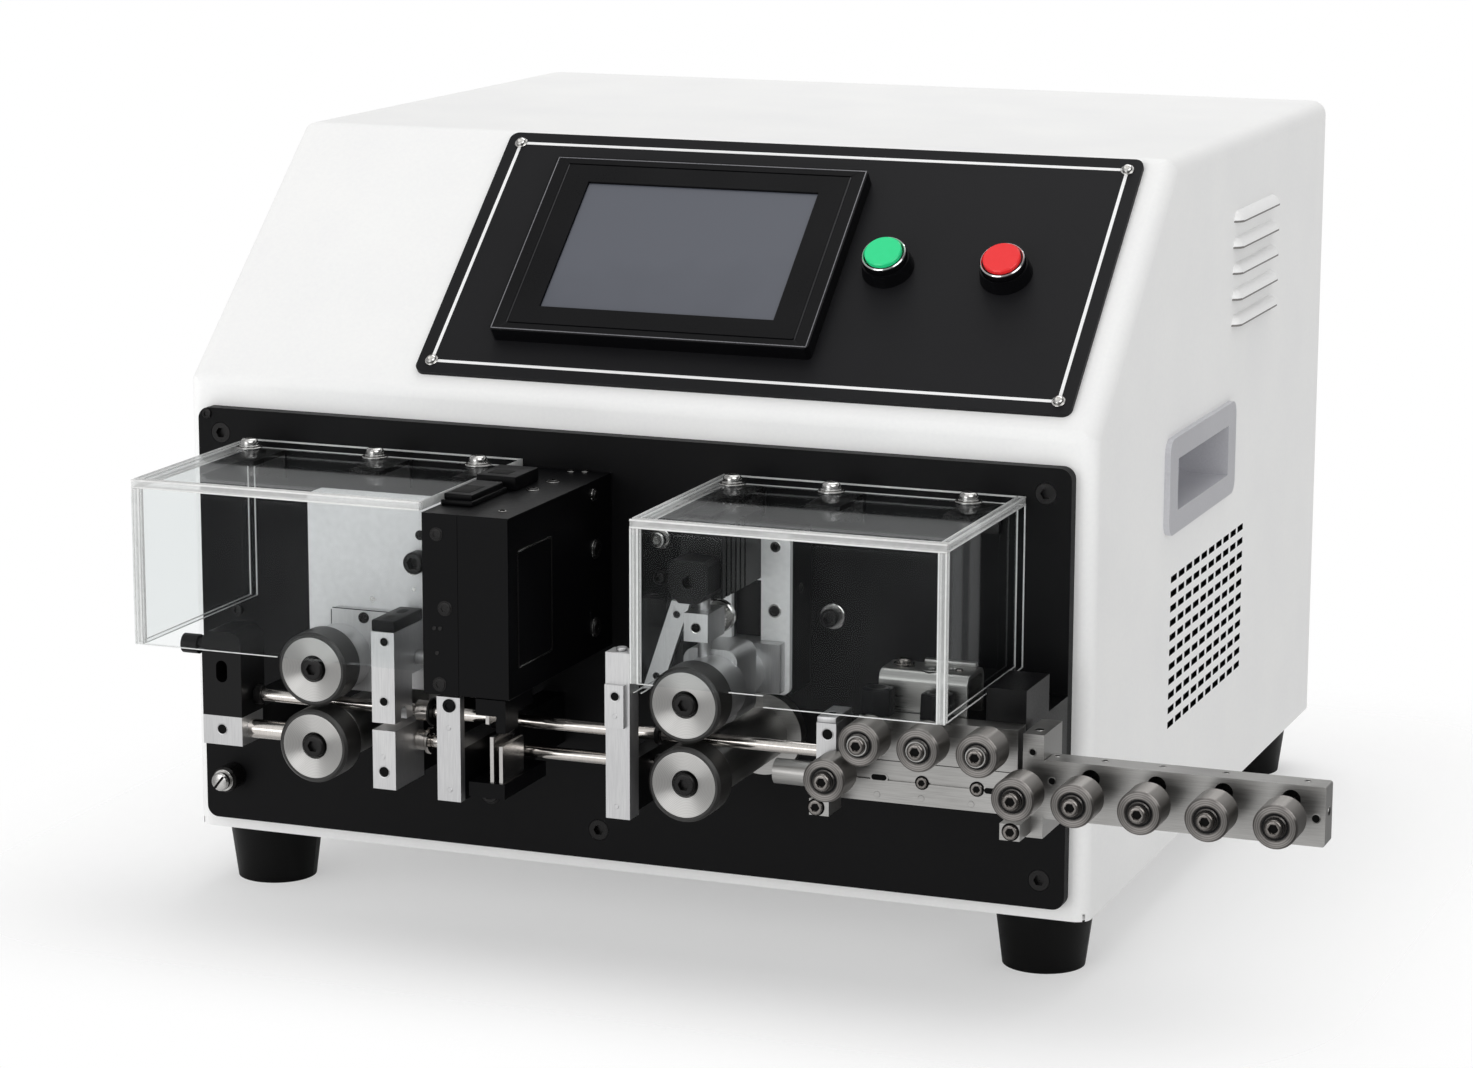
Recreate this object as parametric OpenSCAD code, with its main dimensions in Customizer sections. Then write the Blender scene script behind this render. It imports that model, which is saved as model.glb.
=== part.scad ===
// Benchtop wire cutting and stripping machine.
// X runs left to right along the front, Y runs from the front face of the case to the rear,
// Z runs up from the underside of the case. in_frame() then puts the origin under the middle.

/* [Case] */
// Width of the case
case_w = 400; // [396:1:440]
// Depth of the case
case_d = 380; // [340:1:440]
// Height of the case without its feet
case_h = 294; // [288:1:310]
// Height of the upright front face
crease_z = 197; // [192:1:205]
// Depth of the sloping face
slope_run = 111; // [106:1:120]
// Sheet thickness of the case
case_wall = 1.5; // [1:0.1:2]
// Outside radius of the folded edges
bend_r = 6.5; // [3:0.5:8]

/* [Feet] */
// Height of a rubber foot
foot_h = 26; // [15:1:40]
// Diameter of a foot at the case
foot_top_d = 40; // [30:1:46]
// Diameter of a foot at the floor
foot_bottom_d = 34; // [24:1:44]
// Distance of a foot's centre from the case sides
foot_inset = 25; // [24:1:50]

/* [Front plate] */
// Thickness of the front plate
plate_t = 6; // [5:0.5:10]
// Bare strip of case left and right of the front plate
plate_side = 8; // [4:0.5:10]
// Bare strip of case under the front plate
plate_low = 6; // [2:0.5:8]
// Height of the front plate
plate_h = 179; // [174:1:184]
// Corner radius of the front plate
plate_r = 5; // [2:0.5:8]
// Head diameter of the plate screws
plate_screw_d = 8.5; // [7:0.1:10]

/* [Control panel] */
// Width of the control panel
panel_w = 284; // [275:1:288]
// Height of the control panel along the slope
panel_h = 136; // [128:1:138]
// Thickness of the control panel
panel_t = 2; // [1.5:0.1:4]
// Gap between the control panel and the right side of the case
panel_right = 12.7; // [10:0.1:16]
// Lower edge of the control panel, measured up the slope
panel_v = 9; // [5:0.1:10]
// Width of the display bezel
hmi_w = 141; // [136:1:146]
// Height of the display bezel
hmi_h = 98; // [94:1:104]
// Height of the display bezel above the panel
hmi_t = 7; // [5:0.5:10]
// Width of the visible screen
screen_w = 103.5; // [95:0.5:112]
// Height of the visible screen
screen_h = 69.7; // [60:0.1:74]
// Centre of the display from the panel's left edge
hmi_in = 100.3; // [96:0.1:104]
// Centre of the display up the slope
hmi_v = 77.2; // [74:0.1:80]
// Diameter of a push button cap
button_d = 18; // [15:0.5:20]
// Width of a push button ring round its cap
ring_w = 2; // [1.9:0.1:4]
// Height of a push button ring above the panel
ring_h = 6; // [5:0.5:8]
// Centre of the start button from the panel's left edge
start_in = 190.2; // [186:0.1:195]
// Distance from start button to stop button
button_pitch = 50.5; // [40:0.5:60]
// Centre of both buttons up the slope
button_v = 79; // [70:0.5:90]
// Travel of a push button
button_travel = 3; // [2:0.5:4]

/* [Vents and handles] */
// Number of vent slots in a row
vent_cols = 10; // [4:1:11]
// Number of rows of vent slots
vent_rows = 11; // [4:1:11]
// Length of a vent slot
vent_l = 9.6; // [6:0.1:11]
// Height of a vent slot
vent_h = 2.8; // [1.5:0.1:4]
// Distance between vent slots in a row
vent_pitch = 12.6; // [12:0.1:13.5]
// Distance between rows of vent slots
vent_row_pitch = 6.3; // [5:0.1:6.5]
// Number of louvres on a side
louvre_n = 5; // [2:1:5]
// Length of a louvre
louvre_l = 74; // [40:1:84]
// Distance between louvres
louvre_pitch = 11.4; // [11:0.1:12]
// Radius of a louvre hood
louvre_r = 5; // [3.5:0.1:5.2]
// Length of a handle flange
handle_l = 110; // [100:1:120]
// Height of a handle flange
handle_h = 41; // [36:1:50]
// Length of a handle pocket
pocket_l = 84; // [70:1:90]
// Height of a handle pocket
pocket_h = 22; // [18:1:28]
// Depth of a handle pocket
pocket_d = 26; // [20:1:30]

/* [Feed rollers] */
// Outside diameter of a feed roller tyre
roller_d = 30; // [26:0.5:32]
// Width of a feed roller tyre
tyre_w = 14; // [10:0.5:16]
// Diameter of the metal face of a feed roller
hub_d = 26; // [20:0.5:26.5]
// Gap between upper and lower feed roller
nip = 1.5; // [0.5:0.1:3]
// Height of the wire above the case bottom
wire_z = 84; // [82:0.5:86]
// Distance of the wire from the front face of the case
wire_y = 90; // [88:0.5:92]
// Left feed roller axis across the case
feed_left_x = 106; // [104:0.5:108]
// Right feed roller axis across the case
feed_right_x = 265.5; // [264:0.5:267]
// Diameter of a feed spindle
spindle_d = 10; // [8:0.5:11]
// Lift of an upper feed roller
feed_lift = 4; // [2:0.5:5]
// Teeth of a feed gear
gear_teeth = 21; // [15:2:25]

/* [Cutter head] */
// Left face of the cutter side plate
cutter_x0 = 161; // [161:0.1:163]
// Plane where side plate and housing meet
cutter_x1 = 176; // [175.9:0.1:176.5]
// Width of the cutter housing
cutter_w = 21.5; // [21:0.1:24]
// Reach of the cutter housing in front of the case
cutter_reach = 109; // [108:0.5:112]
// Underside of the cutter housing
cutter_z0 = 98; // [97.5:0.1:100]
// Top of the cutter housing
cutter_z1 = 170; // [166:0.5:176]
// Wall of the cutter housing
cutter_wall = 1.8; // [1.5:0.1:2.2]
// Height of the cutter spindle
cutter_axis_z = 140; // [136:0.5:144]
// Teeth of the cutter pinion
pinion_teeth = 10; // [10:2:10]
// Pitch of the cutter pinion as a gear module
pinion_module = 1; // [0.9:0.05:1.05]
// Travel of each blade
blade_travel = 3; // [2:0.1:3.4]
// Thickness of a blade
blade_t = 1.5; // [1:0.1:1.6]

/* [Straightener] */
// Diameter of a straightening roller
straight_d = 17; // [14:0.5:18]
// Length of a straightening roller
straight_l = 15; // [12:0.5:15]
// Diameter of a straightener stud where the roller turns
stud_d = 5; // [4:0.1:6]
// First upper straightening roller across the case
upper_x = 336.5; // [335:0.5:338]
// Distance between upper straightening rollers
upper_pitch = 23.5; // [21:0.5:24]
// Height of the upper roller axes above the wire
upper_rise = 7; // [6:0.5:10]
// Depth of the lower roller axes below the wire
lower_drop = 8.5; // [8:0.1:9]
// Left end of the straightener base
base_x0 = 318; // [316:0.5:319]
// Length of the straightener base
base_l = 76; // [75:0.5:78]
// Height of the straightener base bar
base_h = 16.5; // [15:0.5:18]
// Width of the post at the end of the base
post_w = 8.3; // [7:0.1:10]
// Length of the straightener arm
arm_l = 108.7; // [104:0.1:120]
// Thickness of the straightener arm
arm_t = 11; // [8:0.5:14]
// Height of the straightener arm
arm_h = 23; // [21:0.5:24]
// First roller on the arm, from the arm's left end
arm_first = 18.5; // [14:0.5:20]
// Distance between rollers on the arm
arm_pitch = 25.7; // [22:0.1:26]
// Lift of the upper straightening rollers
slide_lift = 4; // [2:0.5:5]

/* [Covers] */
// Thickness of the clear covers
cover_t = 3.6; // [3:0.1:4.5]
// Reach of the clear covers in front of the case
cover_reach = 105; // [104:0.5:112]
// Top of the clear covers
cover_z1 = 173; // [171:0.5:176]
// Lower edge of the left cover
left_cover_z0 = 105.5; // [104:0.5:112]
// Lower edge of the right cover
right_cover_z0 = 104; // [102.5:0.5:106]
// Left side of the left cover
left_cover_x0 = 31; // [26:0.5:33]
// Right side of the left cover
left_cover_x1 = 158; // [150:0.5:160]
// Right side of the right cover
right_cover_x1 = 373.5; // [373:0.1:374]

/* [Wire guides] */
// Diameter of a guide rod
rod_d = 5; // [3:0.1:5]
// Distance of the guide rods from the front face of the case
rod_y = 77; // [76.5:0.1:77.5]
// Left end of the upper guide rod
rod_x0 = 59; // [55:0.5:66]
// Left edge of the outlet block
outlet_x = 53; // [50:0.5:55]
// Width of the outlet block
outlet_w = 17.6; // [14:0.1:20]
// Width of a wire guide post
post_guide_w = 10; // [8:0.5:10.5]
// Left edge of the left wire guide
guide_left_x = 133; // [131:0.5:136]

/* [Hidden] */
$fn = 48;
// Clearance between still pieces that slip into each other
fit_gap = 0.2;
// Radial clearance of a turning or sliding shaft in its bore
run_gap = 0.05;
// Clearance between pieces that move past each other
move_gap = 0.3;
// Overlap of a cutting tool past the face it cuts
cut = 1;

// Barrel and ring of a push button
barrel_wall = 1.5;
barrel_d = button_d + 2 * barrel_wall;
ring_d = button_d + 2 * ring_w;

// Slope frame
slope_a = atan2(case_h - crease_z, slope_run);
slope_n = [-sin(slope_a), cos(slope_a)];

// Control panel
panel_x = case_w - panel_right - panel_w;
hmi_x = panel_x + hmi_in;
start_x = panel_x + start_in;

// Front plate
plate_f = -plate_t;
plate_x1 = case_w - plate_side;
plate_z1 = plate_low + plate_h;
screw_in = 10.5;
head_t = 3;
window_in = 22;

// Rear and base
base_t = 2;
inlet_w = 36;
inlet_h = 62;
inlet_flange = 3;
inlet_x = 70;
inlet_z = 60;
rocker_w = 13;
rocker_h = 20;
rocker_r = 11;
rocker_proud = 1.5;
rocker_z = inlet_z + 15;
supply_l = 160;
supply_in = 60;
board_in = 20;
board_gap = 10;
rocker_y = case_d + inlet_flange - 7;

// Handle flange stands proud of the side by this much
handle_t = 2.5;
handle_wall = 1.6;
handle_y = 158;
handle_z = 158;
vent_y = 179;
vent_z = 85;
louvre_y = 246;
louvre_z = 211;

// Feed rollers
roller_f = -wire_y - tyre_w / 2;
tyre_back = -wire_y + tyre_w / 2;
ring_t = 2.2;
ring_od = roller_d - 3;
housing_f = tyre_back + ring_t + move_gap;
feed_dist = roller_d + nip;
lower_z = wire_z - feed_dist / 2;
upper_z = wire_z + feed_dist / 2;
housing_d = spindle_d + 12;
upper_boss_d = spindle_d + 17;
gear_y0 = 8;
gear_w = 10;
motor_y = 28;
motor_w = 57;
motor_l = 76;
motor_bolt = 23.57;
spindle_end = motor_y + 8;
upper_end = gear_y0 + gear_w + 4;

// Left bracket and carriage
bracket_f = -68;
bracket_t = 8;
bracket_x0 = feed_left_x - 15.3;
bracket_x1 = cutter_x0 - 0.5;
bracket_z0 = upper_z - 11.75;
bracket_z1 = 166;
rib_z1 = 150;
carriage_t = 2.7;
carriage_f = bracket_f - move_gap - carriage_t;
tongue_w = 12;
tongue_h = 16;

// Right bracket, carriage and press head
right_block_x0 = feed_right_x - 13;
right_block_x1 = feed_right_x + 18.5;
right_block_f = -30;
right_block_z0 = upper_z - 9.75;
right_block_z1 = 155;
right_body_x0 = feed_right_x - 12.5;
right_body_x1 = feed_right_x + 10;
right_body_f = -66;
carriage_z0 = wire_z + 2;
right_body_z1 = upper_z + 15.5;
right_body_back = -45;
right_plate_t = 3;
foot_plate_t = 5.7;
groove_d = 6;
press_x = feed_right_x - 3;
press_w = 16;
press_z0 = 137;
press_z1 = 154;
press_f = -85;
press_rod_d = 5;
press_rod_y = -68;
press_step_y = -72;
press_back_z1 = 165;

// Release lever left of the right cover
lever_y = -40;
lever_t = 3;
lever_w = 8;
lever_x = [225, 237.5];
lever_z = [90, 127];

// Cutter head
cutter_f = -cutter_reach;
cutter_x2 = cutter_x1 + cutter_w;
pinion_x = (cutter_x1 + cutter_x2) / 2;
pinion_r = pinion_module * pinion_teeth / 2;
tooth_up = 0.8 * pinion_module;
tooth_down = 1.1 * pinion_module;
rack_out = cutter_w / 2 - cutter_wall - move_gap;
cutter_spindle_d = 6;
rack_pitch = PI * pinion_module;
rack_half = 4;
upper_rack_y0 = cutter_f + 3;
upper_rack_y1 = upper_rack_y0 + 10;
lower_stem_y0 = -rod_y + rod_d / 2 + 1.5;
lower_stem_y1 = lower_stem_y0 + 8;
blade_y0 = -wire_y - 14;
blade_y1 = -wire_y + 6;
blade_open = blade_travel - 0.5;
foot_z0 = wire_z - 27;
foot_z1 = foot_z0 + 6;
cutter_motor_w = 42;
cutter_motor_l = 40;
cutter_motor_bolt = 15.5;

// Straightener
base_f = -72;
base_back = -48;
base_z1 = wire_z - 5;
base_z0 = base_z1 - base_h;
base_x1 = base_x0 + base_l;
post_x1 = base_x1 + post_w;
post_z0 = base_z0 - 8;
post_z1 = base_z1 + 16;
arm_z0 = base_z0;
arm_back = base_f + arm_t;
arm_x1 = post_x1 + arm_l;
roller_up_z = wire_z + upper_rise;
roller_low_z = wire_z - lower_drop;
slide_x0 = upper_x - 8.5;
slide_x1 = base_x1 - 2;
slide_z0 = base_z1 + move_gap;
slide_z1 = roller_up_z + 5;
slide_back = base_f + 10;
carrier_f = slide_back + move_gap;
carrier_x0 = slide_x0 + 4;
carrier_z1 = slide_z1 - 2;
straight_f = -wire_y - 7;
straight_back = straight_f + straight_l;
low_left_x = base_x0 + 4.7;
low_right_x = base_x1 + post_w / 2 - 0.5;
stud_head_d = stud_d + 3;
collar_d = stud_d + 1.8;
inlet_block_x0 = base_x0 - 4;
inlet_block_w = 8;

// Covers
cover_f = -cover_reach;
cover_side_gap = 0.6;
right_cover_x0 = feed_right_x - roller_d / 2 - cover_side_gap - cover_t;
tab_z0 = 82;
tab_w = 16;
clip_y = -26;
clip_w = 14;
clip_t = 2;
clip_reach = 30;
clip_h = 12;
left_clip_in = [cover_t + clip_w / 2 + 1, 69.5, 116];
right_clip_in = [cover_t + clip_w / 2 + 1, 53.3, 110];

// Guide rods and posts
rod_up_z = wire_z - 2;
rod_low_z = wire_z - 14;
guide_z0 = wire_z - 30;
arm_block_z0 = wire_z - 29;
arm_block_z1 = wire_z - 8;
arm_block_front = -72;
outlet_f = -wire_y;
outlet_z0 = wire_z - 21;
outlet_z1 = wire_z - 9;
outlet_top = wire_z + 26;
left_guide_f = -wire_y - 8;
mid_x0 = cutter_x1 - post_guide_w;
mid_f = cutter_f + 1;
mid_t = 4;
right_guide_f = -wire_y - 14;
right_guide_t = 9;
guide_right_x = right_cover_x0 - 0.4 - post_guide_w;

// Whole machine
y_front = min(cutter_f, cover_f);
y_rear = case_d + inlet_flange + rocker_proud;
x_left = -max(handle_t, louvre_r - case_wall);

// Colours
white = [0.93, 0.93, 0.92];
black = [0.07, 0.07, 0.08];
silver = [0.78, 0.79, 0.80];
steel = [0.42, 0.43, 0.45];
rubber = [0.10, 0.10, 0.10];
clear = [0.85, 0.92, 0.95, 0.35];

// Moves the machine so that the origin lies on the floor under its middle
module in_frame() {
    translate([-(x_left + arm_x1) / 2, -(y_front + y_rear) / 2, foot_h]) children();
}

// Puts a shape on the sloping face: X across, Y up the slope, Z out of the face
module on_slope() {
    translate([0, 0, crease_z]) rotate([slope_a, 0, 0]) children();
}

// Box between two corners
module slab(x0, x1, y0, y1, z0, z1) {
    translate([x0, y0, z0]) cube([x1 - x0, y1 - y0, z1 - z0]);
}

// Round bar along Y
module bar_y(x, z, y0, y1, d) {
    translate([x, y0, z]) rotate([-90, 0, 0]) cylinder(h = y1 - y0, d = d);
}

// Round bar along X
module bar_x(y, z, x0, x1, d) {
    translate([x0, y, z]) rotate([0, 90, 0]) cylinder(h = x1 - x0, d = d);
}

// Round bar along Z
module bar_z(x, y, z0, z1, d) {
    translate([x, y, z0]) cylinder(h = z1 - z0, d = d);
}

// Extrudes an outline of X and Z from y0 to y1
module along_y(y0, y1) {
    translate([0, y1, 0]) rotate([90, 0, 0]) linear_extrude(y1 - y0) children();
}

// Extrudes an outline of Y and Z from x0 to x1
module along_x(x0, x1) {
    translate([x0, 0, 0]) rotate([90, 0, 90]) linear_extrude(x1 - x0) children();
}

// Rectangle between two corners with round corners
module rounded_rect(x0, x1, y0, y1, r) {
    translate([x0 + r, y0]) square([x1 - x0 - 2 * r, y1 - y0]);
    translate([x0, y0 + r]) square([x1 - x0, y1 - y0 - 2 * r]);
    for (x = [x0 + r, x1 - r], y = [y0 + r, y1 - r]) translate([x, y]) circle(r);
}

// Straight slot outline with round ends, from z0 to z1
module slot_z(x, z0, z1, w) {
    translate([x - w / 2, z0 + w / 2]) square([w, z1 - z0 - w]);
    for (z = [z0 + w / 2, z1 - w / 2]) translate([x, z]) circle(d = w);
}

// Corner p of an outline moved inwards by d from the two edges with normals n1 and n2
function inset(p, n1, n2, d) = p - (n1 + n2) * d / (1 + n1 * n2);

// Spur gear outline with straight flanks and a little backlash
module gear_outline(teeth, size, up, down) {
    pitch_r = size * teeth / 2;
    step = 360 / teeth;
    root = 0.31 * step;
    tip = 0.13 * step;
    polygon([
        for (i = [0:teeth - 1], k = [[-root, -down], [-tip, up], [tip, up], [root, -down]])
            (pitch_r + k[1]) * [cos(i * step + k[0]), sin(i * step + k[0])]
    ]);
}

// Solid of the whole case, with every face moved inwards by d
module case_block(d) {
    r = max(bend_r - d, 0.5);
    front_n = [-1, 0];
    top_n = [0, 1];
    crease = inset([0, crease_z], front_n, slope_n, d);
    brow = inset([slope_run, case_h], slope_n, top_n, d);
    top = case_h - d;
    rear = case_d;
    run_a = bend_r * tan((90 - slope_a) / 2);
    run_b = bend_r * tan(slope_a / 2);
    up = [cos(slope_a), sin(slope_a)];
    intersection() {
        along_x(d, case_w - d) {
            polygon([
                [d, 0], crease - [0, run_a], crease + run_a * up,
                brow - run_b * up, brow + [run_b, 0], [rear, top], [rear, 0]
            ]);
            intersection() {
                translate(crease + [bend_r, -run_a]) circle(bend_r);
                polygon([crease + [0, -run_a], crease, crease + run_a * up, crease + [bend_r, -run_a]]);
            }
            intersection() {
                translate(brow + [run_b, -bend_r]) circle(bend_r);
                polygon([brow - run_b * up, brow, brow + [run_b, 0], brow + [run_b, -bend_r]]);
            }
        }
        translate([0, 0, -cut]) linear_extrude(case_h + 2 * cut)
            rounded_rect(d, case_w - d, d, case_d + 2 * bend_r, r);
        along_y(-cut, case_d + cut) rounded_rect(d, case_w - d, -2 * bend_r, top, r);
        on_slope() translate([0, -2 * case_h, 0]) rotate([-90, 0, 0])
            linear_extrude(4 * case_h) rounded_rect(d, case_w - d, d, 4 * case_h, r);
    }
}

// Vent slots, louvre openings and the handle cut-out of one side, cut through along X
module side_cuts(x) {
    for (i = [0:vent_cols - 1], k = [0:vent_rows - 1]) {
        y = vent_y + (i - (vent_cols - 1) / 2) * vent_pitch;
        z = vent_z + (k - (vent_rows - 1) / 2) * vent_row_pitch;
        slab(x - 2 * cut, x + 2 * cut, y - vent_l / 2, y + vent_l / 2, z - vent_h / 2, z + vent_h / 2);
    }
    for (k = [0:louvre_n - 1]) {
        z = louvre_z + k * louvre_pitch;
        slab(x - 2 * cut, x + 2 * cut, louvre_y - louvre_l / 2 + louvre_r,
             louvre_y + louvre_l / 2 - louvre_r, z, z + louvre_r - case_wall);
    }
    slab(x - 2 * cut, x + 2 * cut, handle_y - pocket_l / 2 - handle_wall - fit_gap,
         handle_y + pocket_l / 2 + handle_wall + fit_gap, handle_z - pocket_h / 2 - handle_wall - fit_gap,
         handle_z + pocket_h / 2 + handle_wall + fit_gap);
}

// Pressed louvre hood, open below, on the side at x that faces along dir
module louvre(x, dir, z) {
    half = louvre_l / 2 - louvre_r;
    intersection() {
        difference() {
            louvre_bead(x, z, half, louvre_r);
            louvre_bead(x, z, half, louvre_r - case_wall);
        }
        translate([min(x - dir * case_wall, x + dir * louvre_r), louvre_y - louvre_l / 2, z])
            cube([louvre_r + case_wall, louvre_l, louvre_r]);
    }
}

// Round-ended bead that a louvre hood is cut from
module louvre_bead(x, z, half, r) {
    translate([x, louvre_y - half, z]) rotate([-90, 0, 0]) cylinder(h = 2 * half, r = r);
    for (s = [-1, 1]) translate([x, louvre_y + s * half, z]) sphere(r);
}

module case_shell() {
    color(white) {
        difference() {
            case_block(0);
            case_block(case_wall);
            slab(case_wall, case_w - case_wall, case_wall, case_d + cut, -cut, base_t + cut);
            slab(window_in, case_w - window_in, -cut, case_wall + cut, window_in, plate_z1 - screw_in - 6);
            on_slope() {
                hmi_cut(fit_gap + 1);
                button_holes(1);
            }
            side_cuts(0);
            side_cuts(case_w);
        }
        for (k = [0:louvre_n - 1]) {
            louvre(case_w - case_wall, 1, louvre_z + k * louvre_pitch);
            louvre(case_wall, -1, louvre_z + k * louvre_pitch);
        }
    }
}

module base_plate() {
    x0 = case_wall + fit_gap;
    x1 = case_w - case_wall - fit_gap;
    y0 = case_wall + fit_gap;
    y1 = case_d - case_wall - fit_gap;
    r = max(bend_r - case_wall, 1);
    color(white) linear_extrude(base_t) rounded_rect(x0, x1, y0, y1, r);
}

module rear_panel() {
    x0 = case_wall + fit_gap;
    x1 = case_w - case_wall - fit_gap;
    z1 = case_h - case_wall - fit_gap;
    slot_n = 9;
    slot_pitch = 9;
    slot_w = 4;
    slot_l = 60;
    rear_vent_x = case_w - 110;
    color(white) difference() {
        along_y(case_d - case_wall, case_d) difference() {
            union() {
                translate([x0, 0]) square([x1 - x0, z1 - bend_r]);
                rounded_rect(x0, x1, z1 - 3 * bend_r, z1, bend_r);
            }
            for (i = [0:slot_n - 1])
                slot_z(rear_vent_x + i * slot_pitch - (slot_n - 1) * slot_pitch / 2,
                       inlet_z + 60, inlet_z + 60 + slot_l, slot_w);
        }
        inlet_body(fit_gap);
    }
}

module rubber_feet() {
    color(rubber) for (x = [foot_inset, case_w - foot_inset], y = [foot_inset, case_d - foot_inset])
        translate([x, y, -foot_h]) difference() {
            union() {
                cylinder(h = foot_h - 3, d1 = foot_bottom_d, d2 = foot_top_d);
                translate([0, 0, foot_h - 3]) cylinder(h = 3, d = foot_top_d);
            }
            translate([0, 0, -cut]) cylinder(h = foot_h / 3 + cut, d = foot_bottom_d / 2.4);
        }
}

// Centres of the plate screws, as X and Z
function plate_screw_places() = [
    [plate_side + screw_in, plate_z1 - screw_in], [plate_x1 - screw_in, plate_z1 - screw_in],
    [plate_x1 - screw_in, plate_low + screw_in + 1], [case_w / 2 - 9, plate_low + screw_in + 2]
];

module front_plate() {
    color(black) difference() {
        along_y(plate_f, 0) difference() {
            rounded_rect(plate_side, plate_x1, plate_low, plate_z1, plate_r);
            for (x = [feed_left_x, feed_right_x]) {
                translate([x, lower_z]) circle(d = spindle_d + 4);
                slot_z(x, upper_z - spindle_d / 2 - cut, upper_z + spindle_d / 2 + feed_lift + cut,
                       spindle_d + 2);
            }
            translate([pinion_x, cutter_axis_z]) circle(d = cutter_spindle_d + 2 * run_gap);
        }
        for (p = plate_screw_places()) bar_y(p[0], p[1], plate_f - cut, plate_f + head_t,
                                                plate_screw_d + 2 * fit_gap);
    }
}

module plate_screws() {
    socket_d = 4.6;
    socket = 2.5;
    color(black) for (p = plate_screw_places()) difference() {
        bar_y(p[0], p[1], plate_f, plate_f + head_t, plate_screw_d);
        translate([p[0], plate_f - cut, p[1]]) rotate([-90, 0, 0])
            cylinder(h = socket + cut, d = socket_d, $fn = 6);
    }
}

// Opening for the display housing in panel and case
module hmi_cut(gap) {
    translate([hmi_x - hmi_w / 2 + 6 - gap, hmi_v - hmi_h / 2 + 6 - gap, -20])
        cube([hmi_w - 12 + 2 * gap, hmi_h - 12 + 2 * gap, 40]);
}

// Holes for the push button barrels in panel and case
module button_holes(gap) {
    for (i = [0, 1]) translate([start_x + i * button_pitch, button_v, -20])
        cylinder(h = 40, d = barrel_d + 2 * gap);
}

module control_panel() {
    color(black) on_slope() difference() {
        linear_extrude(panel_t) rounded_rect(panel_x, panel_x + panel_w, panel_v, panel_v + panel_h, 4);
        hmi_cut(fit_gap);
        button_holes(fit_gap);
    }
}

// Display bezel with a fine groove round its face and its moulded rear housing
module hmi_housing() {
    step = 6.5;
    rear_depth = 34;
    groove_w = 0.7;
    groove = 0.5;
    groove_v = 4;
    recess = 2.5;
    x0 = hmi_x - hmi_w / 2;
    x1 = hmi_x + hmi_w / 2;
    v0 = hmi_v - hmi_h / 2;
    v1 = hmi_v + hmi_h / 2;
    color(black) on_slope() difference() {
        union() {
            translate([0, 0, panel_t]) linear_extrude(hmi_t) rounded_rect(x0, x1, v0, v1, 2);
            translate([x0 + step, v0 + step, panel_t - rear_depth])
                cube([hmi_w - 2 * step, hmi_h - 2 * step, rear_depth]);
        }
        translate([hmi_x - screen_w / 2 - fit_gap, hmi_v - screen_h / 2 - fit_gap, panel_t + hmi_t - recess])
            cube([screen_w + 2 * fit_gap, screen_h + 2 * fit_gap, recess + cut]);
        translate([0, 0, panel_t + hmi_t - groove]) linear_extrude(groove + cut) difference() {
            rounded_rect(x0 + step, x1 - step, v0 + groove_v, v1 - groove_v, 1);
            rounded_rect(x0 + step + groove_w, x1 - step - groove_w, v0 + groove_v + groove_w,
                         v1 - groove_v - groove_w, 1);
        }
    }
}

module hmi_screen() {
    color([0.18, 0.22, 0.28]) on_slope()
        translate([hmi_x - screen_w / 2, hmi_v - screen_h / 2, panel_t + hmi_t - 2.5])
            cube([screen_w, screen_h, 1.5]);
}

// Barrel and collar that a push button slides in
module button_rings() {
    ring_taper = 1;
    floor_t = 4;
    bore = button_d + 2 * move_gap;
    barrel = 18;
    color(silver) for (i = [0, 1]) on_slope() translate([start_x + i * button_pitch, button_v, panel_t])
        difference() {
            union() {
                cylinder(h = ring_h, d1 = ring_d, d2 = ring_d - 2 * ring_taper);
                translate([0, 0, -barrel]) cylinder(h = barrel + cut, d = barrel_d);
            }
            translate([0, 0, -barrel + floor_t]) cylinder(h = barrel + ring_h + cut, d = bore);
        }
}

// Push button cap with a domed face
module button_cap(x) {
    stand = 3.5;
    dome_r = 3 * button_d;
    stem = 11;
    on_slope() translate([x, button_v, panel_t + ring_h + stand]) intersection() {
        translate([0, 0, -ring_h - stand - stem + button_travel]) cylinder(h = 40, d = button_d);
        translate([0, 0, -dome_r]) sphere(dome_r, $fn = 96);
        translate([0, 0, -30]) cylinder(h = 60, d = button_d + cut);
    }
}

module start_button() {
    color([0.12, 0.62, 0.25]) button_cap(start_x);
}

module stop_button() {
    color([0.80, 0.10, 0.10]) button_cap(start_x + button_pitch);
}

// Recessed pull handle with a scooped pocket, built for the right side
module handle() {
    y0 = handle_y - handle_l / 2;
    y1 = handle_y + handle_l / 2;
    z0 = handle_z - handle_h / 2;
    z1 = handle_z + handle_h / 2;
    py0 = handle_y - pocket_l / 2;
    pz0 = handle_z - pocket_h / 2;
    difference() {
        union() {
            along_x(case_w, case_w + handle_t) rounded_rect(y0, y1, z0, z1, 6);
            slab(case_w - pocket_d - handle_wall, case_w, py0 - handle_wall, py0 + pocket_l + handle_wall,
                 pz0 - handle_wall, pz0 + pocket_h + handle_wall);
        }
        slab(case_w - pocket_d, case_w + handle_t + cut, py0, py0 + pocket_l, pz0, pz0 + pocket_h);
    }
    // Curved back wall that turns the fingers upwards
    difference() {
        slab(case_w - pocket_d, case_w - pocket_d / 2, py0, py0 + pocket_l, pz0, pz0 + pocket_h / 2);
        translate([case_w - pocket_d / 2, py0 - cut, pz0 + pocket_h / 2]) rotate([-90, 0, 0])
            pocket_scoop();
    }
}

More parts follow.
